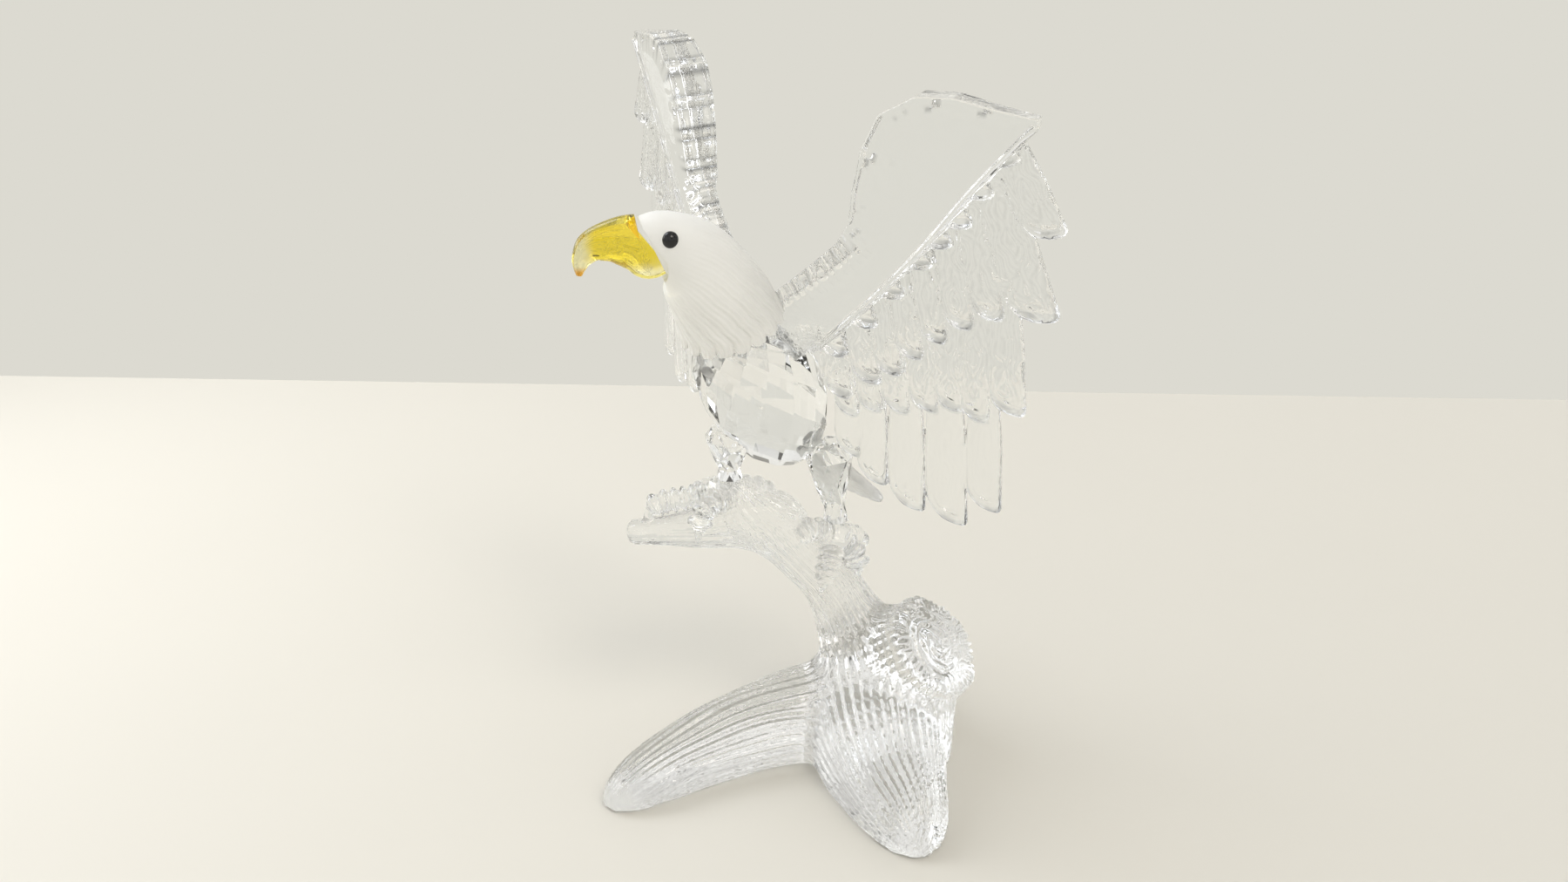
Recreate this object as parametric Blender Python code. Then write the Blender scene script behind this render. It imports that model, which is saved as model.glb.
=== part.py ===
"""Crystal eagle on a branch stand: a bird of cut, frosted and moulded glass landing on a moulded glass bough.

Sizes are in millimetres, turned to metres by MM where a mesh is made. +Z is up, and the origin is on the flat
underside of the stand, under the middle of the trunk. The viewer stands on the -Y side.
"""

import math

import bmesh
import bpy
from mathutils import Matrix, Vector

MM = 0.001
WELD = 1e-6  # in metres
CREASE_DEG = 50.0  # a round surface keeps edges that turn more than this crisp

# Clearances
JOINT_GAP = 0.3  # glued glass pieces stand this far apart

# The bird's heading: it looks to the viewer's left and towards them
HEADING_DEG = 226.0
HEADING = Vector((math.cos(math.radians(HEADING_DEG)), math.sin(math.radians(HEADING_DEG)), 0.0))
LEFT = Vector((-HEADING.y, HEADING.x, 0.0))
UP = Vector((0.0, 0.0, 1.0))

# Body: a cut egg, leaning forward
BODY_CENTRE = Vector((-17.6, 8.0, 65.6))
BODY_LEAN_DEG = 31.0
BODY_HALF_LENGTH = 17.4
BODY_HALF_WIDTH = 10.2
BODY_HALF_DEPTH = 9.8
BODY_FACETS_AROUND = 10
BODY_LAST_RING_DEG = 64.0  # no ring of facets is nearer the ends than this latitude
KITE_CLOSENESS = 0.97  # 1 where the corners of the kites just meet
BODY_SHOULDER = 0.1  # how much fuller the neck end is than the tail end

# Head: a frosted hood of plumage from the beak's root to the collar. Each station across it has its centre,
# half height, half width and slant in degrees.
HEAD_STATIONS = (
    ((-33.8, -6.2, 94.9), 5.1, 3.4, 31.0),
    ((-31.9, -5.8, 94.6), 5.4, 4.3, 20.0),
    ((-28.2, -4.6, 92.2), 6.5, 5.7, 4.0),
    ((-25.6, -3.0, 88.2), 7.5, 6.8, 0.0),
    ((-23.8, -1.2, 84.4), 8.4, 7.7, -6.0),
    ((-22.6, 0.6, 80.9), 9.3, 8.6, -12.0),
)
COLLAR_LOBES = 18
LOBE_STEPS = 3  # points round the collar to each lobe
COLLAR_LOBE_DEPTH = 1.0
PLUME_GROOVE = 0.35  # depth between plumes at the collar, fading to the face
EYE_RADIUS = 1.4
EYE_PROUD = 0.65  # how far an eye stands out of the cheek
EYE_STATION = 1  # which of the head's stations the eyes sit on
EYE_ANGLE_DEG = 24.0  # above the middle of the cheek
EYE_SEGMENTS = 12

# Beak: hooked, its root flat against the face. The stations follow on from the head's first one.
BEAK_STATIONS = (
    ((-35.3, -6.6, 94.7), 5.1, 3.1, 26.0),
    ((-37.8, -7.1, 95.5), 4.2, 2.7, 16.0),
    ((-40.6, -7.5, 95.7), 3.1, 2.2, 8.0),
    ((-42.9, -7.9, 95.0), 2.5, 1.7, 4.0),
    ((-44.3, -8.1, 93.5), 1.7, 1.25, 0.0),
    ((-44.8, -8.2, 92.0), 1.05, 0.85, 0.0),
    ((-44.8, -8.2, 90.8), 0.45, 0.4, 0.0),
)
BEAK_SIDES = 16
BEAK_FULLNESS = 0.25  # gap between beak and face outlines

# Wings: flat moulded blades, upright, swept back to both sides. u runs out from the root and v up it.
WING_ROOT = Vector((-13.3, 4.0, 82.7))
WING_SWEEP_DEG = -22.0
FAR_WING_LIFT_DEG = 5.0
FAR_WING_RAISE = 1.5
FAR_WING_OUTSET = 1.8
FAR_WING_LEAN_DEG = -3.5
ARM_LEDGE = ((5.0, -7.2), (37.6, 30.6))  # the arm's lower edge, where its feathers start
ARM_LEDGE_THICKNESS = 4.8
ARM_WEDGE_DEG = 13.6  # between the arm's two faces, which part from the ledge to the leading edge
ARM_OUTLINE = (
    (-3.4, -7.4), (-3.0, 0.6), (3.0, 5.8), (8.0, 10.3), (10.6, 14.2), (11.2, 19.6), (12.6, 25.9),
    (15.2, 31.3), (20.6, 34.2), (26.2, 34.3), (32.7, 32.9), (38.3, 32.0), (38.1, 30.3), (35.3, 28.0),
    (29.0, 20.6), (22.0, 11.2), (15.0, 3.0), (7.6, -4.6), (2.0, -9.5),
)
# Each row of feathers: thickness at root and tip, then (root u, root v, tip u, tip v, width) outwards
FEATHER_ROWS = {
    "tile": (4.1, 3.7, (
        (7.0, -1.0, 8.0, -8.2, 5.0), (11.5, 3.0, 13.0, -2.8, 5.2), (15.5, 7.5, 17.2, 2.5, 5.2),
        (19.5, 12.0, 21.8, 7.7, 4.8), (22.5, 16.0, 24.8, 11.3, 4.4), (25.0, 20.0, 27.7, 14.7, 4.6),
        (28.0, 24.0, 30.5, 19.4, 4.8), (31.0, 28.5, 34.4, 24.6, 4.8),
    )),
    "covert": (3.0, 2.6, (
        (7.6, -3.0, 8.9, -15.4, 5.4), (11.5, 1.0, 13.8, -12.2, 5.4), (15.0, 4.0, 17.4, -10.2, 5.2),
        (18.5, 8.0, 20.8, -7.0, 5.0), (22.0, 12.0, 24.5, -3.8, 5.0), (25.5, 16.0, 28.4, -1.0, 5.2),
        (28.5, 20.0, 33.0, 1.0, 5.4), (31.5, 24.0, 40.4, 1.2, 7.6), (33.8, 28.0, 41.0, 14.2, 6.6),
    )),
    "long_covert": (2.2, 1.8, (
        (9.5, -8.0, 10.6, -18.4, 4.6), (13.5, -6.0, 14.4, -17.0, 4.8), (17.5, -4.0, 18.9, -16.6, 5.2),
        (22.0, 0.0, 23.4, -15.6, 5.4), (26.5, 3.0, 27.4, -14.8, 5.4), (30.5, 6.0, 31.6, -16.0, 5.6),
        (34.6, 8.0, 36.9, -14.2, 6.2),
    )),
    "primary": (1.4, 1.1, (
        (10.4, -12.0, 10.8, -25.8, 5.0), (14.6, -12.0, 15.2, -30.2, 5.8), (20.2, -11.0, 21.4, -33.8, 6.6),
        (26.6, -10.0, 28.3, -35.1, 7.2), (33.0, -10.0, 34.2, -31.6, 6.2),
    )),
}
QUILL_WIDTH = 0.8  # of a feather's root, in widths
TIP_RAKE = 0.85  # how far a feather's inner edge stops short of its tip, in widths
TIP_TURN = 0.9  # how far across the tip is round, in widths
TIP_DROP = 0.16  # how far its outer edge stops short of its tip, in widths
TIP_STEPS = 3
SHINGLE_LIFT = 0.16  # a feather's outer edge stands this far above its neighbour

# Tail: a frosted fan, hanging behind the bough
TAIL_ROOT = Vector((-12.2, 12.2, 57.5))
TAIL_DROP_DEG = 50.0
TAIL_LENGTH = 24.0
TAIL_FEATHERS = 5
TAIL_SPREAD_DEG = 34.0
TAIL_FEATHER_WIDTH = 5.2
TAIL_THICKNESS = 2.6
TAIL_TIP_THICKNESS = 1.6

# Legs: cut drops from the body down to the moulded feet
LEFT_LEG = (Vector((-6.6, 7.6, 56.0)), Vector((-4.9, 5.4, 41.6)))
RIGHT_LEG = (Vector((-23.4, 4.9, 60.0)), Vector((-23.4, 4.6, 50.6)))
LEG_SHARES = (0.0, 0.22, 0.55, 0.82, 1.0)  # places down a leg, from its top
LEG_RADII = (3.0, 4.3, 2.9, 1.9, 2.3)
LEG_SIDES = 7

# Stand: tapering limbs, each a list of (x, y, z, radius)
LIMBS = {
    "bough": ((2.0, 2.0, -6.0, 13.0), (2.0, 2.0, 7.0, 11.0), (0.4, 3.4, 16.0, 8.4), (-2.8, 4.8, 23.5, 6.2),
              (-6.2, 5.4, 29.8, 5.3), (-11.2, 5.6, 35.2, 5.1), (-16.2, 5.5, 40.6, 5.4), (-20.6, 5.3, 44.6, 5.0),
              (-22.4, 5.1, 47.2, 3.6)),
    "perch": ((-15.0, 5.5, 41.4, 4.6), (-22.0, 4.9, 41.4, 4.6), (-28.0, 4.0, 41.0, 3.9), (-34.0, 3.1, 40.9, 2.9),
              (-38.5, 2.4, 41.0, 2.5), (-41.4, 2.0, 41.1, 2.4)),
    "left_root": ((2.0, 1.0, 5.0, 11.0), (-11.0, -0.6, 3.6, 9.8), (-22.0, -4.8, 2.6, 8.6), (-31.0, -10.2, 2.0, 7.2),
                  (-37.5, -15.4, 1.6, 6.0), (-41.4, -18.6, 1.0, 4.4), (-43.4, -20.2, 0.6, 2.2)),
    "front_root": ((2.4, 0.0, 6.0, 12.8), (2.8, -9.0, 4.6, 12.0), (4.4, -17.6, 3.0, 9.8), (6.2, -25.0, 2.0, 7.4),
                   (7.4, -30.4, 1.2, 5.0), (7.7, -33.0, 0.6, 2.4)),
    "back_root": ((2.0, 3.0, 5.0, 11.0), (2.6, 12.0, 3.0, 8.4), (2.6, 19.0, 1.8, 6.6), (2.4, 24.0, 1.0, 4.4),
                  (2.4, 26.2, 0.6, 2.2)),
    "stump": ((1.0, 3.0, 9.0, 8.8), (7.4, 1.2, 14.4, 9.2), (12.0, -1.5, 19.6, 9.8), (13.6, -2.5, 21.6, 10.0)),
    "buttress": ((6.0, 0.0, 18.0, 6.0), (9.0, -2.0, 10.0, 7.8), (9.6, -4.4, 2.0, 7.2), (9.6, -5.0, -4.0, 6.4)),
}
LIMB_SIDES = 14
LIMB_FLUTE = 0.13  # depth of the bark's furrows, in radii
LIMB_STEPS = 2  # spans from each of a limb's points to the next
FLOOR_CUTTER = 120.0  # side of the block that cuts the underside flat

# Feet: toes moulded with the bough, each a ribbed finger and a claw
TOE_RADIUS = 1.65
TOE_SIDES = 6
TOE_STEPS = 5
TOE_RIB_DEPTH = 0.3
CLAW_SHARE = 0.3
CLAW_TAPER = 0.6
RIGHT_TOES = (
    ((-24.0, 4.4, 48.4), (-30.4, 3.4, 47.2), (-35.8, 2.8, 46.2), (-38.4, 2.3, 42.6)),
    ((-23.6, 3.2, 48.0), (-27.6, -0.4, 46.4), (-28.8, -1.4, 41.0)),
    ((-24.0, 6.0, 48.0), (-28.6, 8.8, 45.4), (-29.6, 9.0, 40.6)),
    ((-22.6, 5.2, 48.0), (-18.6, 6.6, 47.4), (-15.8, 7.8, 44.4)),
)
LEFT_TOES = (
    ((-5.0, 5.0, 39.0), (-9.4, 2.6, 41.4), (-12.6, 1.0, 39.4)),
    ((-5.2, 4.2, 38.4), (-6.2, 0.6, 35.0), (-7.6, -0.4, 30.6)),
    ((-4.4, 5.2, 38.4), (-1.4, 4.6, 35.4), (-0.6, 3.6, 31.6)),
    ((-4.4, 6.2, 38.6), (-1.0, 9.0, 36.0), (-0.8, 10.0, 32.0)),
)
FOOT_PADS = (((-24.0, 4.6, 47.4), 2.9), ((-4.9, 5.0, 38.4), 2.8))

# Finishes: colour, roughness, metallic, transmission
FINISHES = {
    "clear_crystal": ((0.96, 0.97, 0.97, 1.0), 0.0, 0.0, 1.0),
    "frosted_crystal": ((0.90, 0.90, 0.88, 1.0), 0.55, 0.0, 0.3),
    "amber_crystal": ((1.0, 0.80, 0.12, 1.0), 0.02, 0.0, 1.0),
    "jet_crystal": ((0.01, 0.01, 0.012, 1.0), 0.05, 0.0, 0.0),
}


def clear_scene():
    """Remove everything the startup file holds."""
    for obj in list(bpy.data.objects):
        bpy.data.objects.remove(obj)


def new_collection(name):
    collection = bpy.data.collections.new(name)
    bpy.context.scene.collection.children.link(collection)
    return collection


def finish_material(name):
    """One Principled material for each glass the figurine is made of."""
    known = bpy.data.materials.get(name)
    if known:
        return known
    colour, roughness, metallic, transmission = FINISHES[name]
    material = bpy.data.materials.new(name)
    material.use_nodes = True
    shader = material.node_tree.nodes["Principled BSDF"]
    shader.inputs["Base Color"].default_value = colour
    shader.inputs["Roughness"].default_value = roughness
    shader.inputs["Metallic"].default_value = metallic
    shader.inputs["Transmission Weight"].default_value = transmission
    return material


def mesh_object(name, bm, collection):
    """An object in the collection from a bmesh in millimetres, which is freed."""
    bmesh.ops.scale(bm, vec=(MM, MM, MM), verts=bm.verts)
    bmesh.ops.recalc_face_normals(bm, faces=bm.faces)
    mesh = bpy.data.meshes.new(name)
    bm.to_mesh(mesh)
    bm.free()
    obj = bpy.data.objects.new(name, mesh)
    collection.objects.link(obj)
    return obj


def shade_round(obj):
    """Smooth shading, with the edges that turn sharply left crisp."""
    obj.data.shade_smooth()
    obj.data.set_sharp_from_angle(angle=math.radians(CREASE_DEG))


def baked(obj, name, collection):
    """The object's evaluated mesh as a plain object, with the object itself and its place taken over."""
    graph = bpy.context.evaluated_depsgraph_get()
    mesh = bpy.data.meshes.new_from_object(obj.evaluated_get(graph))
    bm = bmesh.new()
    bm.from_mesh(mesh)
    bmesh.ops.remove_doubles(bm, verts=bm.verts, dist=WELD)
    bmesh.ops.recalc_face_normals(bm, faces=bm.faces)
    bm.to_mesh(mesh)
    bm.free()
    made = bpy.data.objects.new(name, mesh)
    made.matrix_world = obj.matrix_world
    bpy.data.objects.remove(obj)
    made.name = name
    collection.objects.link(made)
    return made


def boolean(obj, others, operation, collection):
    """obj joined with, or cut by, the others, which are used up."""
    name = obj.name
    operands = bpy.data.collections.new("operands")
    bpy.context.scene.collection.children.link(operands)
    for other in others:
        operands.objects.link(other)
    modifier = obj.modifiers.new(operation.lower(), "BOOLEAN")
    modifier.operation = operation
    modifier.operand_type = "COLLECTION"
    modifier.collection = operands
    bpy.context.view_layer.update()
    made = baked(obj, name, collection)
    for other in others:
        bpy.data.objects.remove(other)
    bpy.data.collections.remove(operands)
    return made


def loft(bm, rings):
    """Skin a list of rings, each a list of points, and close both ends with a fan."""
    loops = [[bm.verts.new(point) for point in ring] for ring in rings]
    count = len(loops[0])
    for near, far in zip(loops, loops[1:]):
        for i in range(count):
            bm.faces.new((near[i], near[(i + 1) % count], far[(i + 1) % count], far[i]))
    for ring in (loops[0], loops[-1]):
        centre = bm.verts.new(sum((v.co for v in ring), Vector()) / count)
        for i in range(count):
            bm.faces.new((ring[i], ring[(i + 1) % count], centre))


def body_axes():
    """Unit vectors along the body to the neck, to its left, and out of its back."""
    lean = math.radians(BODY_LEAN_DEG)
    along = HEADING * math.sin(lean) + UP * math.cos(lean)
    return along, LEFT, along.cross(LEFT)


def kite_rings(half_length, half_width):
    """Latitudes from the middle ring of facets to the last, spaced so that every facet is a kite.

    A kite's half height and half width span turns of the surface in the ratio that its curvatures set there."""
    turn = 2.0 * math.pi / BODY_FACETS_AROUND
    latitudes = [0.0]
    while True:
        here = latitudes[-1]
        support = math.hypot(half_length * math.sin(here), half_width * math.cos(here))
        following = here + KITE_CLOSENESS * turn * math.cos(here) * support / (2.0 * half_length)
        if following > math.radians(BODY_LAST_RING_DEG):
            return latitudes
        latitudes.append(following)


def body_solid(name, grow, collection):
    """The body as a cut stone: the block left by planes that touch an egg at rings of points."""
    radii = (BODY_HALF_LENGTH, BODY_HALF_WIDTH, BODY_HALF_DEPTH)
    rings = kite_rings(BODY_HALF_LENGTH, BODY_HALF_WIDTH)
    facets = [(0.5 * math.pi, 0.0), (-0.5 * math.pi, 0.0)]
    for i, latitude in enumerate(rings):
        turns = [2.0 * math.pi * (step + 0.5 * (i % 2)) / BODY_FACETS_AROUND for step in range(BODY_FACETS_AROUND)]
        facets += [(latitude, lon) for lon in turns]
        if i > 0:
            facets += [(-latitude, lon) for lon in turns]
    bm = bmesh.new()
    bmesh.ops.create_cube(bm, size=4.0 * BODY_HALF_LENGTH)
    for lat, lon in facets:
        local = Vector((math.sin(lat), math.cos(lat) * math.cos(lon), math.cos(lat) * math.sin(lon)))
        scale = 1.0 + BODY_SHOULDER * local.x
        reach = Vector((radii[0] * local.x, radii[1] * local.y * scale, radii[2] * local.z * scale)).length + grow
        cut = bmesh.ops.bisect_plane(
            bm, geom=bm.verts[:] + bm.edges[:] + bm.faces[:], plane_co=local * reach, plane_no=local,
            clear_outer=True,
        )
        edges = [e for e in cut["geom_cut"] if isinstance(e, bmesh.types.BMEdge)]
        if edges:
            bmesh.ops.contextual_create(bm, geom=edges)
    frame = Matrix(body_axes()).transposed().to_4x4()
    bmesh.ops.transform(bm, matrix=Matrix.Translation(BODY_CENTRE) @ frame, verts=bm.verts)
    return mesh_object(name, bm, collection)


def station_frames(stations):
    """Each station's centre, then unit vectors along the row, across it to the side, and across it upwards."""
    centres = [Vector(station[0]) for station in stations]
    frames = []
    for i, station in enumerate(stations):
        ahead = centres[min(i + 1, len(centres) - 1)] - centres[max(i - 1, 0)]
        side = ahead.cross(UP).normalized()
        slant = Matrix.Rotation(math.radians(station[3]), 3, side)
        ahead = slant @ ahead.normalized()
        frames.append((centres[i], ahead, side, side.cross(ahead)))
    return frames


def head_solid(name, grow, collection):
    """The hood: rings from face to collar, grooved like combed plumes, the last ring ending in scallops."""
    around = COLLAR_LOBES * LOBE_STEPS
    last = len(HEAD_STATIONS) - 1
    rings = []
    for i, (centre, ahead, side, over) in enumerate(station_frames(HEAD_STATIONS)):
        half_height, half_width = HEAD_STATIONS[i][1:3]
        ring = []
        for step in range(around):
            angle = 2.0 * math.pi * step / around
            plume = 0.5 - 0.5 * math.cos(COLLAR_LOBES * angle)
            reach = grow - PLUME_GROOVE * (i / last) * (1.0 - plume)
            point = centre + side * (half_width + reach) * math.cos(angle)
            point = point + over * (half_height + reach) * math.sin(angle)
            if i == last:
                point = point + ahead * (COLLAR_LOBE_DEPTH * plume + grow)
            ring.append(point)
        rings.append(ring)
    bm = bmesh.new()
    loft(bm, rings)
    return mesh_object(name, bm, collection)


def eye_centre(side_sign):
    """The middle of an eye: on the cheek, sunk so that it stands EYE_PROUD of it."""
    centre, _, side, over = station_frames(HEAD_STATIONS)[EYE_STATION]
    half_height, half_width = HEAD_STATIONS[EYE_STATION][1:3]
    angle = math.radians(EYE_ANGLE_DEG)
    outward = side * (side_sign * math.cos(angle)) + over * math.sin(angle)
    surface = centre + side * (side_sign * half_width * math.cos(angle)) + over * (half_height * math.sin(angle))
    return surface - outward * (EYE_RADIUS - EYE_PROUD)


def eye_solid(name, side_sign, grow, collection):
    bm = bmesh.new()
    bmesh.ops.create_uvsphere(bm, u_segments=EYE_SEGMENTS, v_segments=EYE_SEGMENTS // 2, radius=EYE_RADIUS + grow)
    bmesh.ops.translate(bm, vec=eye_centre(side_sign), verts=bm.verts)
    return mesh_object(name, bm, collection)


def beak_solid(name, collection):
    """The beak: oval rings from its flat root down the hook."""
    root_centre, root_ahead, root_side, root_over = station_frames(HEAD_STATIONS)[0]
    half_height, half_width = HEAD_STATIONS[0][1:3]
    frames = station_frames(((root_centre, 0.0, 0.0, 0.0),) + BEAK_STATIONS)[1:]
    frames.insert(0, (root_centre - root_ahead * JOINT_GAP, -root_ahead, -root_side, root_over))
    sizes = [(half_height - BEAK_FULLNESS, half_width - BEAK_FULLNESS)]
    sizes += [station[1:3] for station in BEAK_STATIONS]
    rings = []
    for (centre, _, side, over), (high, wide) in zip(frames, sizes):
        angles = [2.0 * math.pi * step / BEAK_SIDES for step in range(BEAK_SIDES)]
        rings.append([centre + side * (wide * math.cos(a)) + over * (high * math.sin(a)) for a in angles])
    bm = bmesh.new()
    loft(bm, rings)
    return mesh_object(name, bm, collection)


def mirrored(vector):
    """The vector seen in the bird's middle plane."""
    return vector - LEFT * (2.0 * vector.dot(LEFT))


def wing_frame(far):
    """The wing's root, then unit vectors out along it, up it, and out of the face that looks forward."""
    sweep = math.radians(WING_SWEEP_DEG)
    root = WING_ROOT - BODY_CENTRE
    out = Vector((math.cos(sweep), math.sin(sweep), 0.0))
    rise = UP.copy()
    if far:
        root = mirrored(root) + UP * FAR_WING_RAISE - LEFT * FAR_WING_OUTSET
        lift = Matrix.Rotation(math.radians(FAR_WING_LIFT_DEG), 3, mirrored(out).cross(UP))
        out = lift @ mirrored(out)
        rise = Matrix.Rotation(math.radians(FAR_WING_LEAN_DEG), 3, out) @ lift @ UP
    return BODY_CENTRE + root, out, rise, out.cross(rise)


def plate(name, outline, place, front, back, collection):
    """A flat-faced plate from an outline of (a, b) points, its faces at the heights front(a, b) and back(a, b)."""
    bm = bmesh.new()
    faces = []
    for height in (front, back):
        loop = [bm.verts.new(place(a, b, height(a, b))) for a, b in outline]
        bm.faces.new(loop)
        faces.append(loop)
    count = len(outline)
    for i in range(count):
        j = (i + 1) % count
        bm.faces.new((faces[0][i], faces[0][j], faces[1][j], faces[1][i]))
    return mesh_object(name, bm, collection)


def feather_outline(length, width):
    """A quill with straight sides, narrower at its root, and a raked round tip, as (along, across) points."""
    rake = TIP_RAKE * width
    half = 0.5 * width
    points = [(0.0, QUILL_WIDTH * half), (0.0, -QUILL_WIDTH * half), (length - rake, -half)]
    for step in range(1, TIP_STEPS + 1):
        turn = 0.5 * math.pi * step / TIP_STEPS
        across = TIP_TURN * width * (1.0 - math.cos(turn)) - half
        points.append((length - rake + rake * math.sin(turn), across))
    points.append((length - TIP_DROP * width, half))
    return points


def arm_height(u, v):
    """Half the arm's thickness: that of the ledge, and a slope for the distance from it."""
    start = Vector(ARM_LEDGE[0])
    along = (Vector(ARM_LEDGE[1]) - start).normalized()
    away = along.x * (v - start.y) - along.y * (u - start.x)
    return 0.5 * ARM_LEDGE_THICKNESS + away * math.tan(0.5 * math.radians(ARM_WEDGE_DEG))


def wing_solid(name, far, collection):
    """The wedge of the arm, and each feather as a blade of its own, joined into one."""
    root, out, rise, face = wing_frame(far)

    def on_wing(u, v, n):
        return root + out * u + rise * v + face * n

    arm = plate(name, ARM_OUTLINE, on_wing, arm_height, lambda a, b: -arm_height(a, b), collection)
    blades = []
    for thick_root, thick_tip, feathers in FEATHER_ROWS.values():
        for root_u, root_v, tip_u, tip_v, width in feathers:
            start = Vector((root_u, root_v))
            along = Vector((tip_u, tip_v)) - start
            length = along.length
            along.normalize()
            across = Vector((-along.y, along.x))

            def on_feather(a, b, n, start=start, along=along, across=across):
                spot = start + along * a + across * b
                return on_wing(spot.x, spot.y, n)

            def face_height(a, b, sign, width=width, length=length, ends=(thick_root, thick_tip)):
                half = 0.5 * (ends[0] + (ends[1] - ends[0]) * a / length)
                return sign * half + SHINGLE_LIFT * b / width

            blades.append(plate(
                name + "_blade", feather_outline(length, width), on_feather,
                lambda a, b, h=face_height: h(a, b, 1.0), lambda a, b, h=face_height: h(a, b, -1.0), collection,
            ))
    return boolean(arm, blades, "UNION", collection)


def smooth_path(points, steps):
    """Points on a Catmull-Rom curve through the given ones, each with steps spans to the next."""
    rows = [Vector(p) for p in points]
    rows = [rows[0] * 2.0 - rows[1]] + rows + [rows[-1] * 2.0 - rows[-2]]
    path = []
    for before, here, there, after in zip(rows, rows[1:], rows[2:], rows[3:]):
        for step in range(steps):
            t = step / steps
            path.append(0.5 * (
                here * 2.0 + (there - before) * t + (before * 2.0 - here * 5.0 + there * 4.0 - after) * t * t
                + (here * 3.0 - before - there * 3.0 + after) * t ** 3
            ))
    return path + [rows[-2]]


def round_profile(sides, flute=0.0):
    """A section of radius 1 for tubes, every second point drawn in by the share flute."""
    name = "section_%d_%d" % (sides, round(1000 * flute))
    known = bpy.data.objects.get(name)
    if known:
        return known
    curve = bpy.data.curves.new(name, "CURVE")
    curve.dimensions = "2D"
    spline = curve.splines.new("POLY")
    spline.points.add(sides - 1)
    for i, point in enumerate(spline.points):
        angle = 2.0 * math.pi * i / sides
        reach = MM * (1.0 - flute * (i % 2))
        point.co = (reach * math.cos(angle), reach * math.sin(angle), 0.0, 1.0)
    spline.use_cyclic_u = True
    profile = bpy.data.objects.new(name, curve)
    profile.hide_render = True
    profile.display_type = "WIRE"
    guides = bpy.data.collections.get("guides") or new_collection("guides")
    guides.objects.link(profile)
    return profile


def tube(name, path, profile, collection, grow=0.0):
    """A solid tube along points of (x, y, z, radius), of the given section."""
    curve = bpy.data.curves.new(name, "CURVE")
    curve.dimensions = "3D"
    curve.bevel_mode = "OBJECT"
    curve.bevel_object = profile
    curve.use_fill_caps = True
    spline = curve.splines.new("POLY")
    spline.points.add(len(path) - 1)
    for point, (x, y, z, radius) in zip(spline.points, path):
        point.co = (x * MM, y * MM, z * MM, 1.0)
        point.radius = radius + grow
    obj = bpy.data.objects.new(name, curve)
    collection.objects.link(obj)
    bpy.context.view_layer.update()
    return baked(obj, name, collection)


def toe_path(points):
    """A toe's points with its ribs as swells, and its claw as a taper."""
    smooth = smooth_path([tuple(p) + (TOE_RADIUS,) for p in points], TOE_STEPS)
    path = []
    for i, (x, y, z, radius) in enumerate(smooth):
        share = i / (len(smooth) - 1)
        if share > 1.0 - CLAW_SHARE:
            radius = radius * (1.0 - CLAW_TAPER * (share - 1.0 + CLAW_SHARE) / CLAW_SHARE)
        elif i % 2:
            radius = radius + TOE_RIB_DEPTH
        path.append((x, y, z, radius))
    return path


def foot_solids(name, toes, pad, grow, collection):
    """The pad under an ankle and the toes that grip the bough."""
    section = round_profile(TOE_SIDES)
    solids = [tube(name + "_toe", toe_path(toe), section, collection, grow) for toe in toes]
    bm = bmesh.new()
    bmesh.ops.create_icosphere(bm, subdivisions=2, radius=pad[1] + grow)
    bmesh.ops.translate(bm, vec=pad[0], verts=bm.verts)
    solids.append(mesh_object(name + "_pad", bm, collection))
    return solids


def stand_solid(name, collection):
    """Bough, perch, stump and roots run together in one moulded piece, cut flat underneath."""
    section = round_profile(LIMB_SIDES, LIMB_FLUTE)
    limbs = [tube(key, smooth_path(path, LIMB_STEPS), section, collection) for key, path in LIMBS.items()]
    trunk = limbs.pop(0)
    trunk.name = name
    for toes, pad in ((RIGHT_TOES, FOOT_PADS[0]), (LEFT_TOES, FOOT_PADS[1])):
        limbs += foot_solids(name, toes, pad, 0.0, collection)
    trunk = boolean(trunk, limbs, "UNION", collection)
    bm = bmesh.new()
    bmesh.ops.create_cube(bm, size=FLOOR_CUTTER)
    bmesh.ops.translate(bm, vec=(0.0, 0.0, -0.5 * FLOOR_CUTTER), verts=bm.verts)
    floor = mesh_object("floor_cutter", bm, collection)
    return boolean(trunk, [floor], "DIFFERENCE", collection)


def leg_solid(name, ends, collection):
    """A cut drop: flat sides swelling to the thigh and tapering to the ankle."""
    top, ankle = ends
    down = (ankle - top).normalized()
    side = down.cross(HEADING).normalized()
    front = side.cross(down)
    length = (ankle - top).length
    rings = []
    for share, radius in zip(LEG_SHARES, LEG_RADII):
        centre = top + down * (length * share)
        twist = math.pi / LEG_SIDES * (len(rings) % 2)
        angles = [2.0 * math.pi * i / LEG_SIDES + twist for i in range(LEG_SIDES)]
        rings.append([centre + side * (radius * math.cos(a)) + front * (radius * math.sin(a)) for a in angles])
    bm = bmesh.new()
    loft(bm, rings)
    return mesh_object(name, bm, collection)


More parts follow.
